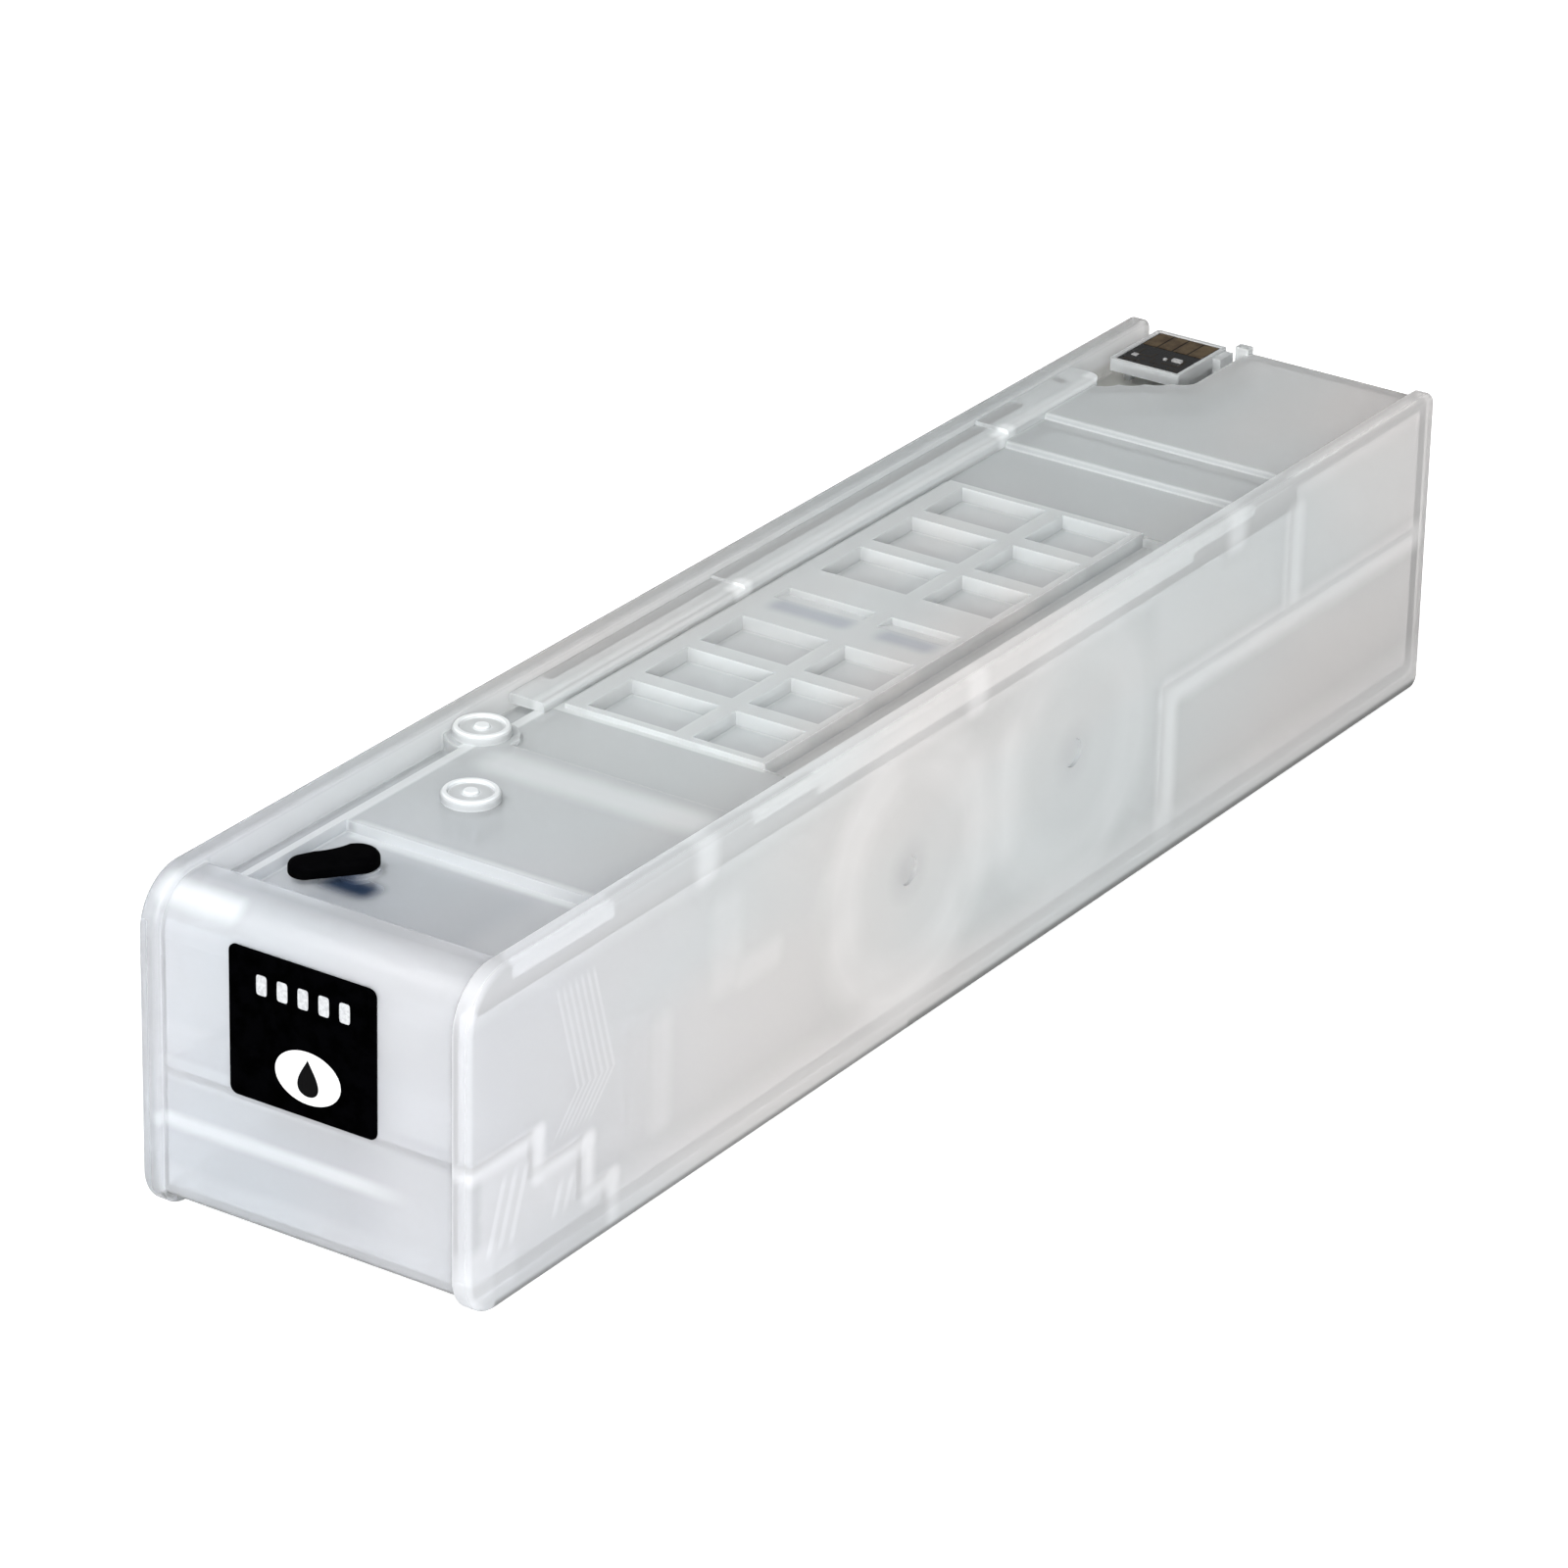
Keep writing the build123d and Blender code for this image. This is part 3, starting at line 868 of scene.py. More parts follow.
def plate_lines(corners: tuple[Range, ...], thin: float, soft: float, share: float) -> tuple[Zone, ...]:
    """Patches in the side cover along the straight runs from corner to corner.

    Args:
        corners: The places along and the heights of the corners.
        thin: How thin a run is before it fades out.
        soft: How far it fades out.
        share: How white it is.

    Returns:
        One zone for each run.
    """
    zones = []
    for start, end in zip(corners, corners[1:]):
        low = (min(start[0], end[0]), min(start[1], end[1]))
        high = (max(start[0], end[0]) + thin, max(start[1], end[1]) + thin)
        zones.append(plate_patch(low, high, soft, share))
    return tuple(zones)


BODY_ZONES = (
    # The inner skin of the tank
    Zone((BOX_LEFT, -106.0, 4.6), (BOX_RIGHT, 121.1, 42.4), 0.4, 0.5),
    # The room under the stair-shaped wall
    Zone((BOX_LEFT, -120.8, 2.9), (BOX_RIGHT, -98.0, 21.7), 0.3, 0.65),
    # The top step of that wall, where it meets the front
    Zone((BOX_LEFT, -120.8, 20.6), (BOX_RIGHT, -108.8, 22.2), 0.7, 0.95),
    # The deck
    Zone((BOX_LEFT, -112.0, 43.0), (BOX_RIGHT, 124.0, 48.0), 0.5, 0.16),
    # The grid frame, and the gutter beside it
    Zone((-18.6, -43.6, 44.8), (17.0, 55.8, GRID_TOP), 0.4, 0.36),
    Zone((16.8, GRID_FRONT, DECK_LOW), (BOX_RIGHT, GRID_REAR, GRID_TOP), 0.6, 0.3),
    # The wall between the plateau and the air channel
    Zone((-19.4, -112.0, 45.2), (-18.1, -46.0, 47.2), 0.6, 0.5),
    # Painted highlight on the band at the rear of the plateau, and its front step above the pocket
    Zone((-12.0, -64.6, 46.0), (20.0, -63.2, 47.2), 4.6, 0.42),
    Zone((-16.0, -91.0, 44.9), (BOX_RIGHT, -90.2, 47.0), 1.5, 0.4),
    # Painted highlight on the roll at the top of the front, brighter at its left end
    Zone((BOX_LEFT, -123.2, 45.2), (23.0, -119.0, 48.2), 3.5, 0.2),
    Zone((BOX_LEFT, -121.6, 46.6), (-14.0, -119.6, 47.6), 2.4, 0.5),
    # Level bands on the front wall: its foot, and a bright one above it
    front_band(2.5, 6.5, 2.2, 0.14),
    front_band(14.3, 14.7, 1.6, 0.34),
    # The front wall's right side
    Zone((18.0, -124.0, 4.0), (BOX_RIGHT, -120.8, 46.0), 12.0, 0.2),
    # The front wall over the top step, and the glow left of the label
    front_band(21.2, 23.4, 1.2, 0.16),
    front_band(25.2, 28.0, 2.0, 0.12, right=-12.6),
    # The ends of the walls against the side cover
    Zone((BOX_RIGHT, -124.0, 2.3), (23.80, 124.0, 48.4), 0.05, 0.7),
)
BODY_POLISH = (
    # The deck and the left plate's top
    Zone((-27.0, -124.0, 43.5), (24.0, 124.0, 50.0), 0.5, 0.55),
    # The gutter beside the grid
    Zone((16.8, GRID_FRONT, DECK_LOW), (BOX_RIGHT, GRID_REAR, GRID_TOP), 0.6, 0.2),
    # The front wall, and the roll at its top
    Zone((-24.0, FRONT_OUT, 2.3), (24.0, -120.9, DECK_LOW), 2.0, 1.0),
    Zone((-24.0, -124.0, 41.0), (24.0, -115.0, 50.0), 2.0, 0.25),
)
STAIR_CORNERS = (
    (-122.9, 21.5),
    (-108.9, 21.5),
    (-108.9, 15.8),
    (-97.6, 15.8),
    (-97.6, 8.0),
    (-92.0, 8.0),
    (-92.0, 2.0),
)
TAB_FRONTS = (-71.6, -5.5, 64.9)
COVER_ZONES = (
    # The cover's top and bottom edges
    Zone((PLATE_IN, -124.5, 46.5), (27.5, 124.5, 50.0), 5.0, 0.48),
    Zone((PLATE_IN, -124.5, -1.0), (27.5, 124.5, 3.5), 7.0, 0.52),
    # Whiter patches in its outer face: painted light at the rear above the shade line of the shelf, one
    # between the rounds, and a soft L-shaped cloud in front of them
    Zone((26.0, 46.0, 32.0), (PLATE_OUT, 122.0, 43.0), 6.0, 0.37),
    Zone((26.0, -3.0, 20.0), (PLATE_OUT, 3.0, 34.0), 7.0, 0.4),
    Zone((26.0, -67.5, 27.0), (PLATE_OUT, -65.0, 37.0), 4.0, 0.36),
    Zone((26.0, -62.0, 25.5), (PLATE_OUT, -54.5, 26.5), 3.0, 0.36),
    # The shelf, the riser and the rear partition that are welded to it
    Zone((23.0, 47.0, 26.0), (PLATE_DEEP, 120.5, 27.2), 3.0, 0.6),
    Zone((23.0, 47.0, 5.0), (PLATE_DEEP, 48.6, 25.8), 3.0, 0.6),
    Zone((23.0, 81.8, 27.2), (PLATE_DEEP, 83.4, 43.0), 3.0, 0.6),
    # Its inner face
    Zone((PLATE_IN, -125.0, -1.0), (24.0, 125.0, 50.0), 0.3, 0.6),
    # A soft upright line in front of the L
    plate_patch((-82.0, 12.0), (-80.8, 25.5), 3.4, 0.38, out=PLATE_OUT),
    # The three steps under the stair-shaped wall
    plate_patch((-120.5, 2.5), (-93.0, 7.0), 2.0, 0.44),
    plate_patch((-120.5, 8.0), (-99.0, 14.5), 2.0, 0.44),
    plate_patch((-120.5, 15.0), (-110.0, 20.5), 2.0, 0.44),
    # Two brighter spots near the lower front corner
    plate_patch((-122.4, 3.0), (-119.4, 9.0), 2.6, 0.55),
    plate_patch((-117.0, 2.5), (-115.0, 6.5), 2.4, 0.5),
    # The line of the stair-shaped wall
    *plate_lines(STAIR_CORNERS, thin=0.1, soft=2.2, share=0.64),
    # The locating tabs
    *(plate_patch((front, 45.4), (front + 1.2, 47.6), 3.6, 0.7) for front in TAB_FRONTS),
    # The skin that carries the chevrons, and the one that carries the stair beads
    plate_patch((-106.0, 9.5), (-66.0, 42.6), 0.1, 1.0, out=PLATE_SKIN),
    plate_patch((-121.0, 7.0), (-99.0, 19.5), 0.1, 1.0, out=PLATE_SKIN),
)
# The outer face of the side cover
COVER_POLISH = (Zone((26.2, -125.0, -1.0), (27.5, 125.0, 50.0), 0.2, 1.0),)
COVER_CALM = (
    # The middle, where the gate rounds are
    plate_patch((-46.0, 2.5), (46.0, 46.0), 0.5, 1.0, out=PLATE_OUT),
    # The upright front edge
    plate_patch((-125.0, 14.0), (-121.0, 41.0), 4.0, 0.7, out=PLATE_OUT),
)
GATE_ROUNDS = (GateRound(along=-21.5, up=25.2), GateRound(along=21.4, up=27.0))
FLOW_MARKS = (
    # The chevrons
    Ripples(
        along=-92.0, bend=24.7, above=0.3, below=0.95, pitch=1.35, count=7,
        low=18.4, high=41.5, strength=0.11,
    ),
    # The two groups of slanting beads inside the stair
    Ripples(
        along=-115.0, bend=8.0, above=-0.35, below=-0.35, pitch=2.5, count=3,
        low=7.5, high=19.5, strength=0.12,
    ),
    Ripples(
        along=-103.0, bend=7.5, above=-0.35, below=-0.35, pitch=2.5, count=2,
        low=7.0, high=13.5, strength=0.12,
    ),
)
STRIP_ZONES = (
    # Painted highlight along the strip's right edge
    Zone((-19.0, -46.0, 45.5), (-17.4, 98.0, 48.6), 1.2, 0.38),
    # Brighter painted highlights at its two joints, and at its rear end
    Zone((-18.8, 1.8, 45.5), (-17.4, 4.0, 48.6), 1.8, 0.75),
    Zone((-18.8, 71.8, 45.5), (-17.4, 74.0, 48.6), 1.8, 0.75),
    Zone((-19.5, 98.6, 45.5), (-17.4, 100.4, 49.0), 1.4, 0.6),
)
# The rims of the two caps
CAP_ZONES = (Zone((-25.0, -82.0, 48.05), (-3.0, -52.0, 48.4), 0.15, 0.78),)
# The grey of the painted shade along the feet of the mouldings
FOOT_SHADE_GREY = linear(136, 138, 136)
# The blue-grey of the painted shade in the grid's slits
WINDOW_SHADE = linear(150, 164, 186)
COVER_SHADE_PATCHES = (
    # Painted shade along the foot of the cover, strongest towards the rear
    ShadePatch(plate_patch((-118.0, -1.0), (124.0, 0.8), 0.9, 0.75, out=PLATE_OUT), FOOT_SHADE_GREY),
    ShadePatch(plate_patch((-20.0, -1.0), (124.0, 1.0), 1.0, 0.6, out=PLATE_OUT), FOOT_SHADE_GREY),
)
BODY_SHADE_PATCHES = (
    # Painted shade on the pocket's floor, and a painted shadow beside the fill plug
    ShadePatch(Zone((-8.0, -108.0, DECK_LOW), (12.0, -95.0, 45.6), 6.0, 0.3), linear(190, 197, 206)),
    ShadePatch(Zone((-10.0, -103.9, DECK_LOW), (-5.2, -102.9, 46.4), 3.4, 1.0), linear(66, 86, 118)),
    # Painted shade on the floor of the chip notch
    ShadePatch(Zone((BOX_LEFT, 105.0, 42.0), (-6.0, 121.0, 44.6), 1.5, 0.5), linear(196, 194, 182)),
    # Painted shade in the gutter beside the grid
    ShadePatch(Zone((17.6, GRID_FRONT, DECK_LOW), (BOX_RIGHT, GRID_REAR, 46.6), 0.8, 0.4), linear(196, 197, 196)),
    # Painted shade in the sloping slits of the grid
    ShadePatch(Zone((-11.0, 2.0, 45.4), (-0.6, 2.8, 46.6), 2.8, 0.42), WINDOW_SHADE),
    ShadePatch(Zone((7.0, 2.0, 45.4), (13.4, 2.8, 46.6), 2.8, 0.42), WINDOW_SHADE),
    # Painted shade along the feet of the left plate and of the front wall
    ShadePatch(Zone((-28.0, -122.0, -1.0), (-23.5, 124.0, 0.35), 0.7, 0.6), FOOT_SHADE_GREY),
    ShadePatch(Zone((BOX_LEFT, -123.2, 2.3), (BOX_RIGHT, -120.0, 2.8), 0.9, 0.85), FOOT_SHADE_GREY),
)

BODY_PLASTIC = FrostedPlastic(
    "frosted body",
    zones=BODY_ZONES,
    polished=BODY_POLISH,
    shade_patches=BODY_SHADE_PATCHES,
    milk=0.1,
    edge_share=0.45,
    rough=0.3,
    gloss=0.13,
)
COVER_PLASTIC = FrostedPlastic(
    "frosted cover",
    zones=COVER_ZONES,
    rounds=GATE_ROUNDS,
    polished=COVER_POLISH,
    ripples=FLOW_MARKS,
    calm=COVER_CALM,
    shade_patches=COVER_SHADE_PATCHES,
    milk=0.28,
    edge_share=0.45,
    gloss=0.07,
)
STRIP_PLASTIC = FrostedPlastic(
    "milky plastic", zones=STRIP_ZONES, clear=0.7, milk=0.15, edge_width=0.6, edge_share=0.35, rough=0.22
)
CAP_PLASTIC = FrostedPlastic(
    "cap plastic", zones=CAP_ZONES, milk=0.42, edge_width=0.6, edge_share=0.8, rough=0.25
)
TRAY_PLASTIC = FrostedPlastic(
    "tray plastic", clear=0.62, milk=0.1, edge_width=0.3, edge_share=0.3, rough=0.3
)
MEMBRANE = PlainFinish("membrane", linear(240, 240, 240), linear(225, 225, 225))
SILICONE = PlainFinish("silicone", linear(230, 230, 230), linear(215, 215, 215), clear=0.5)
BLACK_RUBBER = PlainFinish("black rubber", linear(4, 4, 5), linear(2, 2, 3), rough=0.7, shine=0.01)
GREY_RUBBER = PlainFinish("grey rubber", linear(90, 90, 92), linear(70, 70, 72), rough=0.6)
STEEL_MESH = PlainFinish("mesh", linear(180, 180, 180), linear(120, 120, 120), metal=1.0)
BOARD_RESIST = PlainFinish("solder resist", linear(20, 20, 21), linear(8, 8, 9), rough=0.3, shine=0.3)
GOLD_PLATE = PlainFinish("gold", linear(150, 128, 96), linear(112, 88, 60), rough=0.35, metal=1.0)
SOLDER = PlainFinish("solder", linear(190, 190, 190), linear(150, 150, 150), rough=0.4)
DIE_RESIN = PlainFinish("resin", linear(30, 30, 30), linear(20, 20, 20))
ETCHED_COPPER = PlainFinish(
    "etched copper", linear(70, 58, 40), linear(52, 42, 30), rough=0.4, metal=0.6, size=0.5 * MM
)
LABEL_FILM = PlainFinish("label film", linear(3, 3, 4), linear(1, 1, 1), rough=0.9, shine=0.0)
GREY_PRINT = PlainFinish("grey print", linear(200, 202, 204), linear(176, 178, 181), size=0.4 * MM)
WHITE_PRINT = PlainFinish("white print", linear(250, 250, 250), linear(240, 241, 242))
BLACK_PRINT = PlainFinish("black print", linear(8, 8, 9), linear(5, 5, 6), rough=0.7, shine=0.05)


@dataclass
class FrontLabel:
    """The black sticker on the front: a row of plain bars, and an ink drop in a white ellipse.

    Attributes:
        middle_x: The middle of the ellipse across.
        bars_x: The middle of the row of bars across.
        bars_z: The height of the bars' middle.
        bar_count: How many bars there are.
        bar_width: The width of a bar.
        bar_height: Its height.
        bar_pitch: The distance between the middles of two bars.
        oval_z: The height of the ellipse's middle.
        oval_width: The width of the ellipse.
        oval_height: Its height.
        drop_width: The width of the drop.
        drop_height: Its height.
        ink: How thick the ink is.
    """

    middle_x: float = 0.2
    bars_x: float = -0.5
    bars_z: float = 38.7
    bar_count: int = 5
    bar_width: float = 1.7
    bar_height: float = 2.9
    bar_pitch: float = 3.35
    oval_z: float = 27.5
    oval_width: float = 10.6
    oval_height: float = 7.6
    drop_width: float = 3.4
    drop_height: float = 5.4
    ink: float = 0.03

    def bars(self) -> list[np.ndarray]:
        """The outlines of the bars.

        Returns:
            One outline for each bar, from left to right.
        """
        first = self.bars_x - self.bar_pitch * (self.bar_count - 1) / 2
        places = (first + k * self.bar_pitch for k in range(self.bar_count))
        return [rounded_bar(x, self.bars_z, self.bar_width, self.bar_height) for x in places]

    def make(self, nodes: Pieces) -> None:
        """Dresses the sticker and prints the marks on its outer face.

        Args:
            nodes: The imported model's pieces by name.
        """
        label = nodes["front_label"]
        dress(label, LABEL_FILM)
        low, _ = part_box(label.name)
        face = Face((0.0, low[1] / MM, 0.0), RIGHT, UPRIGHT)
        over = Face((0.0, low[1] / MM - self.ink, 0.0), RIGHT, UPRIGHT)
        oval = rounded_bar(self.middle_x, self.oval_z, self.oval_width, self.oval_height, power=2.0, count=64)
        drop = drop_outline(self.middle_x, self.oval_z, self.drop_width, self.drop_height)
        for name, place, outlines, finish in (
            ("label_bars", face, self.bars(), GREY_PRINT),
            ("label_oval", face, [oval], WHITE_PRINT),
            ("label_drop", over, [drop], BLACK_PRINT),
        ):
            piece = raised_marks(name, place, outlines, self.ink)
            dress(piece, finish)


@dataclass
class Chip:
    """The memory chip in its tray, with the copper lines and test dots etched on its board.

    Attributes:
        middle_x: The middle of the board across.
        middle_y: Its middle along the cartridge.
        height: How high the copper stands.
        lines: Each line's middle from the board's middle, across and along, and its size across and along.
        dots: Each dot's middle from the board's middle, across and along.
        dot: The width of a dot.
    """

    middle_x: float = -15.65
    middle_y: float = 115.9
    height: float = 0.03
    lines: tuple[tuple[float, float, float, float], ...] = (
        (-3.9, -1.5, 0.16, 2.4),
        (-1.3, -1.9, 0.16, 1.6),
        (1.3, -1.5, 0.16, 2.4),
        (3.9, -1.9, 0.16, 1.6),
        (-2.6, -2.8, 2.7, 0.16),
        (2.6, -3.9, 3.2, 0.16),
        (0.1, -4.6, 1.5, 0.16),
        (-3.2, -5.3, 2.6, 0.16),
        (4.1, -3.1, 0.16, 1.6),
        (-0.6, -3.7, 0.16, 1.8),
    )
    dots: tuple[Range, ...] = ((-4.5, -5.6), (4.5, -5.6), (0.9, -5.5), (-2.0, -4.2), (3.1, -5.2))
    dot: float = 0.45

    def make(self, nodes: Pieces) -> None:
        """Dresses the tray and the chip, and etches the board's upper face.

        Args:
            nodes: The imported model's pieces by name.
        """
        dress(nodes["chip_carrier"], TRAY_PLASTIC)
        dress(nodes["chip_board"], BOARD_RESIST)
        dress(nodes["chip_contacts"], GOLD_PLATE)
        dress(nodes["chip_parts"], SOLDER)
        dress(nodes["chip_die"], DIE_RESIN)
        board = nodes["chip_board"]
        _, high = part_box(board.name)
        face = Face((self.middle_x, self.middle_y, high[2] / MM), RIGHT, BACK)
        marks = [rounded_bar(*line, power=8.0, count=16) for line in self.lines]
        marks += [rounded_bar(*place, self.dot, self.dot, power=2.0, count=20) for place in self.dots]
        piece = raised_marks("board_etching", face, marks, self.height)
        dress(piece, ETCHED_COPPER)


@dataclass
class Casing:
    """The box, the side cover welded over its open side, and the bead that the weld pressed out.

    Attributes:
        seam_x: The plane of the weld.
        front: The front of the box.
        rear: Its rear.
        low: The underside of the box.
        top: The top of its front lip.
        lip: Where that lip ends behind.
        rear_top: Where the bead ends on the rear wall.
        top_r: The radius of the front's upper corner.
        low_r: The radius of the lower corners.
        radius: The radius of the bead.
        sides: How many points the bead's round has.
        bends: How many points a corner of its path has.
    """

    seam_x: float = 23.75
    front: float = -122.8
    rear: float = 123.2
    low: float = 2.5
    top: float = 47.8
    lip: float = -112.8
    rear_top: float = 46.8
    top_r: float = 7.0
    low_r: float = 1.5
    radius: float = 0.32
    sides: int = 7
    bends: int = 9

    def make(self, nodes: Pieces) -> None:
        """Dresses the two mouldings and adds the bead between them.

        Args:
            nodes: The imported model's pieces by name.
        """
        dress(nodes["body"], BODY_PLASTIC)
        dress(nodes["side_cover"], COVER_PLASTIC)
        self.make_bead()

    def seam(self) -> tuple[np.ndarray, np.ndarray]:
        """The seam round the box, from the deck's front lip down, along the bottom and up the rear wall.

        Each corner is a quarter circle: its middle plus its radius times (cos t, sin t).

        Returns:
            The places along and up, and the directions that point out of the box there.
        """
        quarter = np.linspace(0, np.pi / 2, self.bends)
        corners = (
            (self.front + self.top_r, self.top - self.top_r, self.top_r, np.pi / 2 + quarter),
            (self.front + self.low_r, self.low + self.low_r, self.low_r, np.pi + quarter),
            (self.rear - self.low_r, self.low + self.low_r, self.low_r, 1.5 * np.pi + quarter),
        )
        turns = np.concatenate([[np.pi / 2], *(turn for *_, turn in corners), [2 * np.pi]])
        out = np.stack([np.cos(turns), np.sin(turns)], -1)
        bends = [np.array((y, z)) + r * np.stack([np.cos(t), np.sin(t)], -1) for y, z, r, t in corners]
        return np.concatenate([[(self.lip, self.top)], *bends, [(self.rear, self.rear_top)]]), out

    def make_bead(self) -> None:
        """Carries a quarter round along the seam, in the corner between the box and the cover.

        A point of the section is the seam + r cos t times the direction out of the box - r sin t times X.
        """
        places, out = self.seam()
        turn = np.linspace(0, np.pi / 2, self.sides)
        across = np.append(-self.radius * np.sin(turn), 0.0)
        away = np.append(self.radius * np.cos(turn), 0.0)
        count, around = len(places), self.sides + 1
        points = np.empty((count, around, 3))
        points[..., 0] = self.seam_x + across
        points[..., 1:] = places[:, None] + away[None, :, None] * out[:, None]
        faces = ring_faces(count, around)[:, ::-1].tolist()
        faces += [list(range(around)), list(range(count * around - 1, (count - 1) * around - 1, -1))]
        piece = mesh_object("seam_bead", points.reshape(-1, 3) * MM, faces)
        dress(piece, BODY_PLASTIC)


@dataclass
class AirPath:
    """The strip over the air channel, its two capped valves, and what lies below the caps."""

    strip: Finish = STRIP_PLASTIC
    caps: Finish = CAP_PLASTIC
    membrane: Finish = MEMBRANE
    disc: Finish = SILICONE

    def make(self, nodes: Pieces) -> None:
        """Dresses the pieces of the air path.

        Args:
            nodes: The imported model's pieces by name.
        """
        dress(nodes["air_channel_cover"], self.strip)
        dress(nodes["vent_cap"], self.caps)
        dress(nodes["air_valve_cap"], self.caps)
        dress(nodes["vent_membrane"], self.membrane)
        dress(nodes["air_valve_disc"], self.disc)


@dataclass
class InkPath:
    """The plug over the hole that the ink is filled in through, and the outlet that it leaves by."""

    plug: Finish = BLACK_RUBBER
    retainer: Finish = STRIP_PLASTIC
    seal: Finish = GREY_RUBBER
    mesh: Finish = STEEL_MESH

    def make(self, nodes: Pieces) -> None:
        """Dresses the plug and the pieces of the outlet.

        Args:
            nodes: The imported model's pieces by name.
        """
        dress(nodes["fill_plug"], self.plug)
        dress(nodes["outlet_retainer"], self.retainer)
        dress(nodes["outlet_seal"], self.seal)
        dress(nodes["outlet_filter"], self.mesh)


@dataclass
class Camera:
    """The camera at the angle and place that the photograph was taken from.

    Attributes:
        azimuth: How far it stands round from the front towards the right, in radians.
        elevation: How far it looks down, in radians.
        roll: How far it is turned about its own axis, in radians.
        location: Its place.
        lens: Its focal length, in millimetres.
        sensor: The width of its sensor, in millimetres.
        axis_x: How far right of the picture's centre the camera's axis meets it, in pixels.
        axis_y: How far below the picture's centre it meets it, in pixels.
        picture: The picture's width, in pixels.
        far: The distance past which it sees nothing.
    """

    azimuth: float = 0.581928317
    elevation: float = 0.440595969
    roll: float = 0.022994843
    location: Place = (0.50858, -0.78540, 0.46401)
    lens: float = 167.236
    sensor: float = 36.0
    axis_x: float = 0.64
    axis_y: float = -1.88
    picture: float = 1600.0
    far: float = 50.0

    def make(self) -> None:
        """Places the camera."""
        back = Vector((
            math.sin(self.azimuth) * math.cos(self.elevation),
            -math.cos(self.azimuth) * math.cos(self.elevation),
            math.sin(self.elevation),
        ))
        side = Vector((math.cos(self.azimuth), math.sin(self.azimuth), 0.0))
        up = back.cross(side)
        right = math.cos(self.roll) * side + math.sin(self.roll) * up
        top = -math.sin(self.roll) * side + math.cos(self.roll) * up
        data = bpy.data.cameras.new("camera")
        data.lens = self.lens
        data.sensor_width = self.sensor
        data.shift_x = -self.axis_x / self.picture
        data.shift_y = self.axis_y / self.picture
        data.clip_end = self.far
        camera = bpy.data.objects.new("camera", data)
        turn = Matrix((right, top, back)).transposed().to_4x4()
        camera.matrix_world = Matrix.Translation(self.location) @ turn
        bpy.context.scene.collection.objects.link(camera)
        bpy.context.scene.camera = camera


@dataclass
class Floor:
    """The pale floor at the level that the cartridge stands on, which glows where the camera sees it.

    Attributes:
        size: The length of its sides.
        grey: How pale it is.
        rough: Its roughness.
        shine: How strong its reflection is.
        glow: How much light it adds where the camera sees it.
    """

    size: float = 30.0
    grey: float = 0.8
    rough: float = 0.9
    shine: float = 0.1
    glow: float = 0.75

    def make(self) -> None:
        """Lays the floor as one large square."""
        half = self.size / 2
        mesh = bpy.data.meshes.new("floor")
        corners = [(-half, -half, 0), (half, -half, 0), (half, half, 0), (-half, half, 0)]
        mesh.from_pydata(corners, [], [(0, 1, 2, 3)])
        floor = bpy.data.objects.new("floor", mesh)
        bpy.context.scene.collection.objects.link(floor)
        shader = Shader("floor")
        shader.set(Base_Color=(self.grey,) * 3, Roughness=self.rough, Specular_IOR_Level=self.shine)
        shader.set(Emission_Color=(1.0, 1.0, 1.0))
        seen = shader.add("ShaderNodeLightPath").outputs["Is Camera Ray"]
        shader.drive("Emission Strength", shader.math("MULTIPLY", seen, self.glow))
        mesh.materials.append(shader.material)


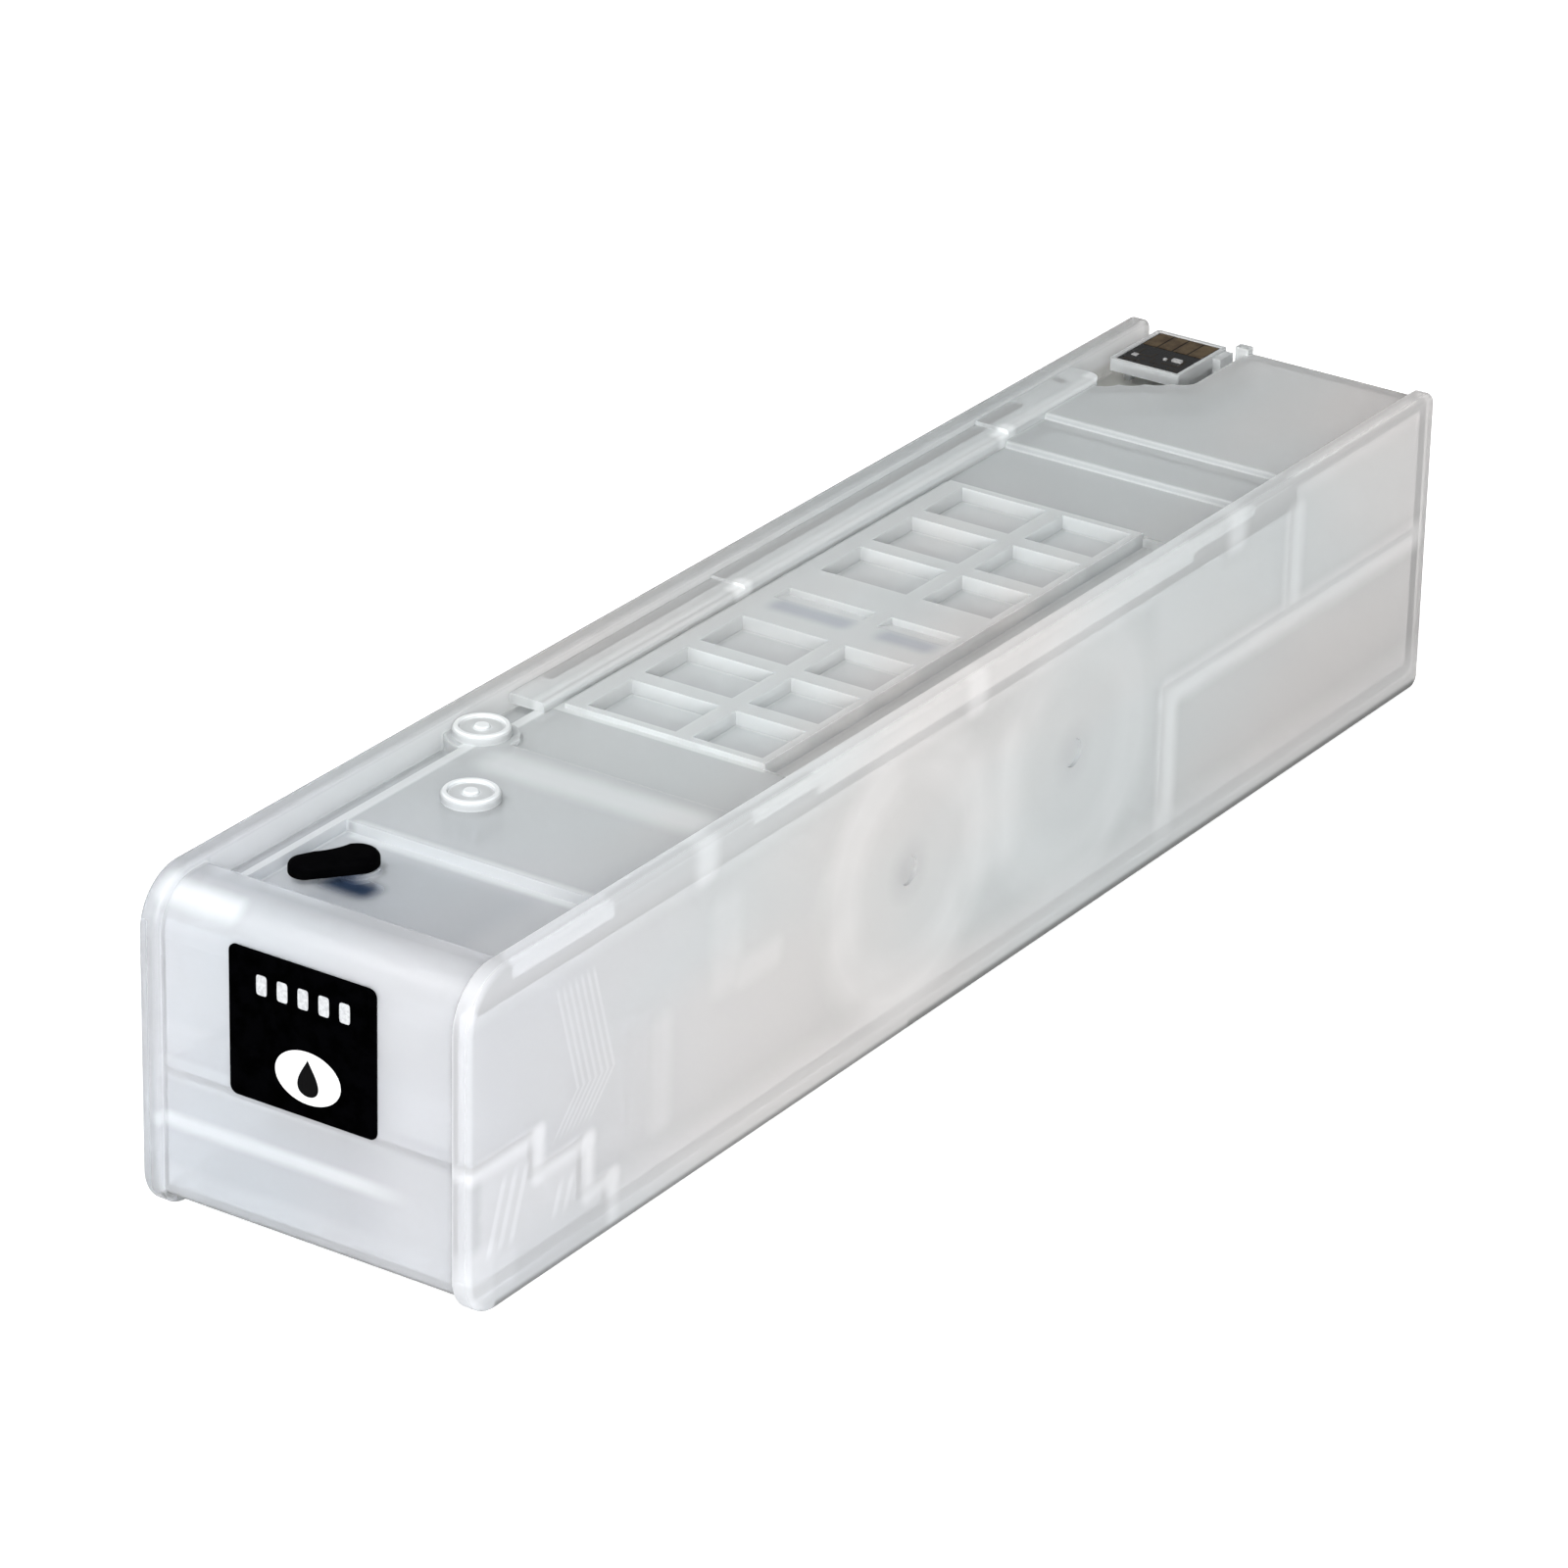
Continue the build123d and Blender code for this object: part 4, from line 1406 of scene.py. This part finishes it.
@dataclass
class Sky:
    """A pale sky, brighter at its edge than overhead and dimmed on one side, as in a tent with a grey roof.

    Attributes:
        top: Its strength overhead.
        edge: Its strength at its edge.
        dark_side: The direction in which it is dimmed.
        dark_reach: The range of the dot product with that direction over which it dims.
        dark_share: What is left of its strength on that side.
    """

    top: float = 0.4
    edge: float = 0.65
    dark_side: Place = (-0.6, 0.78, 0.15)
    dark_reach: Range = (0.2, 0.9)
    dark_share: float = 0.5

    def make(self) -> None:
        """Builds the sky, which the camera itself sees as plain white."""
        world = bpy.data.worlds.new("sky")
        world.use_nodes = True
        sky = Nodes(world.node_tree)
        way = sky.add("ShaderNodeTexCoord").outputs["Generated"]
        parts = sky.add("ShaderNodeSeparateXYZ")
        sky.join(way, parts.inputs[0])
        fall = sky.spread(parts.outputs["Z"], NONE_TO_ALL, (self.edge, self.top))
        behind = sky.vector("DOT_PRODUCT", way, self.dark_side)
        shade = sky.spread(behind, self.dark_reach, (1.0, self.dark_share))
        seen = sky.add("ShaderNodeLightPath").outputs["Is Camera Ray"]
        background = sky.tree.nodes["Background"]
        background.inputs["Color"].default_value = (1.0, 1.0, 1.0, 1.0)
        sky.join(sky.math("MAXIMUM", sky.math("MULTIPLY", fall, shade), seen), background.inputs["Strength"])
        bpy.context.scene.world = world
        bpy.context.scene.view_settings.view_transform = "Standard"


@dataclass
class Lamp:
    """One soft rectangular light that points at the cartridge.

    Attributes:
        name: Its name.
        place: Where it hangs.
        power: Its power in watts.
        width: Its width.
        height: Its height.
        aim: The place that it points at.
    """

    name: str
    place: Place
    power: float
    width: float = 0.5
    height: float = 0.4
    aim: Place = (0.0, 0.0, 0.02)

    def make(self) -> None:
        """Hangs the light."""
        data = bpy.data.lights.new(self.name, "AREA")
        data.shape = "RECTANGLE"
        data.size = self.width
        data.size_y = self.height
        data.energy = self.power
        light = bpy.data.objects.new(self.name, data)
        light.location = self.place
        way = Vector(self.aim) - Vector(self.place)
        light.rotation_mode = "QUATERNION"
        light.rotation_quaternion = way.to_track_quat("-Z", "Y")
        bpy.context.scene.collection.objects.link(light)


STUDIO = (
    Camera(),
    Floor(),
    Sky(),
    Lamp("front", (-0.15, -0.42, 0.70), power=4.2),
    Lamp("side", (0.60, -0.80, 0.30), power=7.2),
)


def main() -> None:
    """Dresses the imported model, one sub-assembly after another, and sets up the studio."""
    logging.basicConfig(level=logging.INFO, format="%(name)s: %(message)s")
    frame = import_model()
    nodes = frame["nodes"]
    for assembly in (FrontLabel(), Chip(), Casing(), AirPath(), InkPath()):
        assembly.make(nodes)
    for item in STUDIO:
        item.make()


if __name__ == "__main__":
    main()
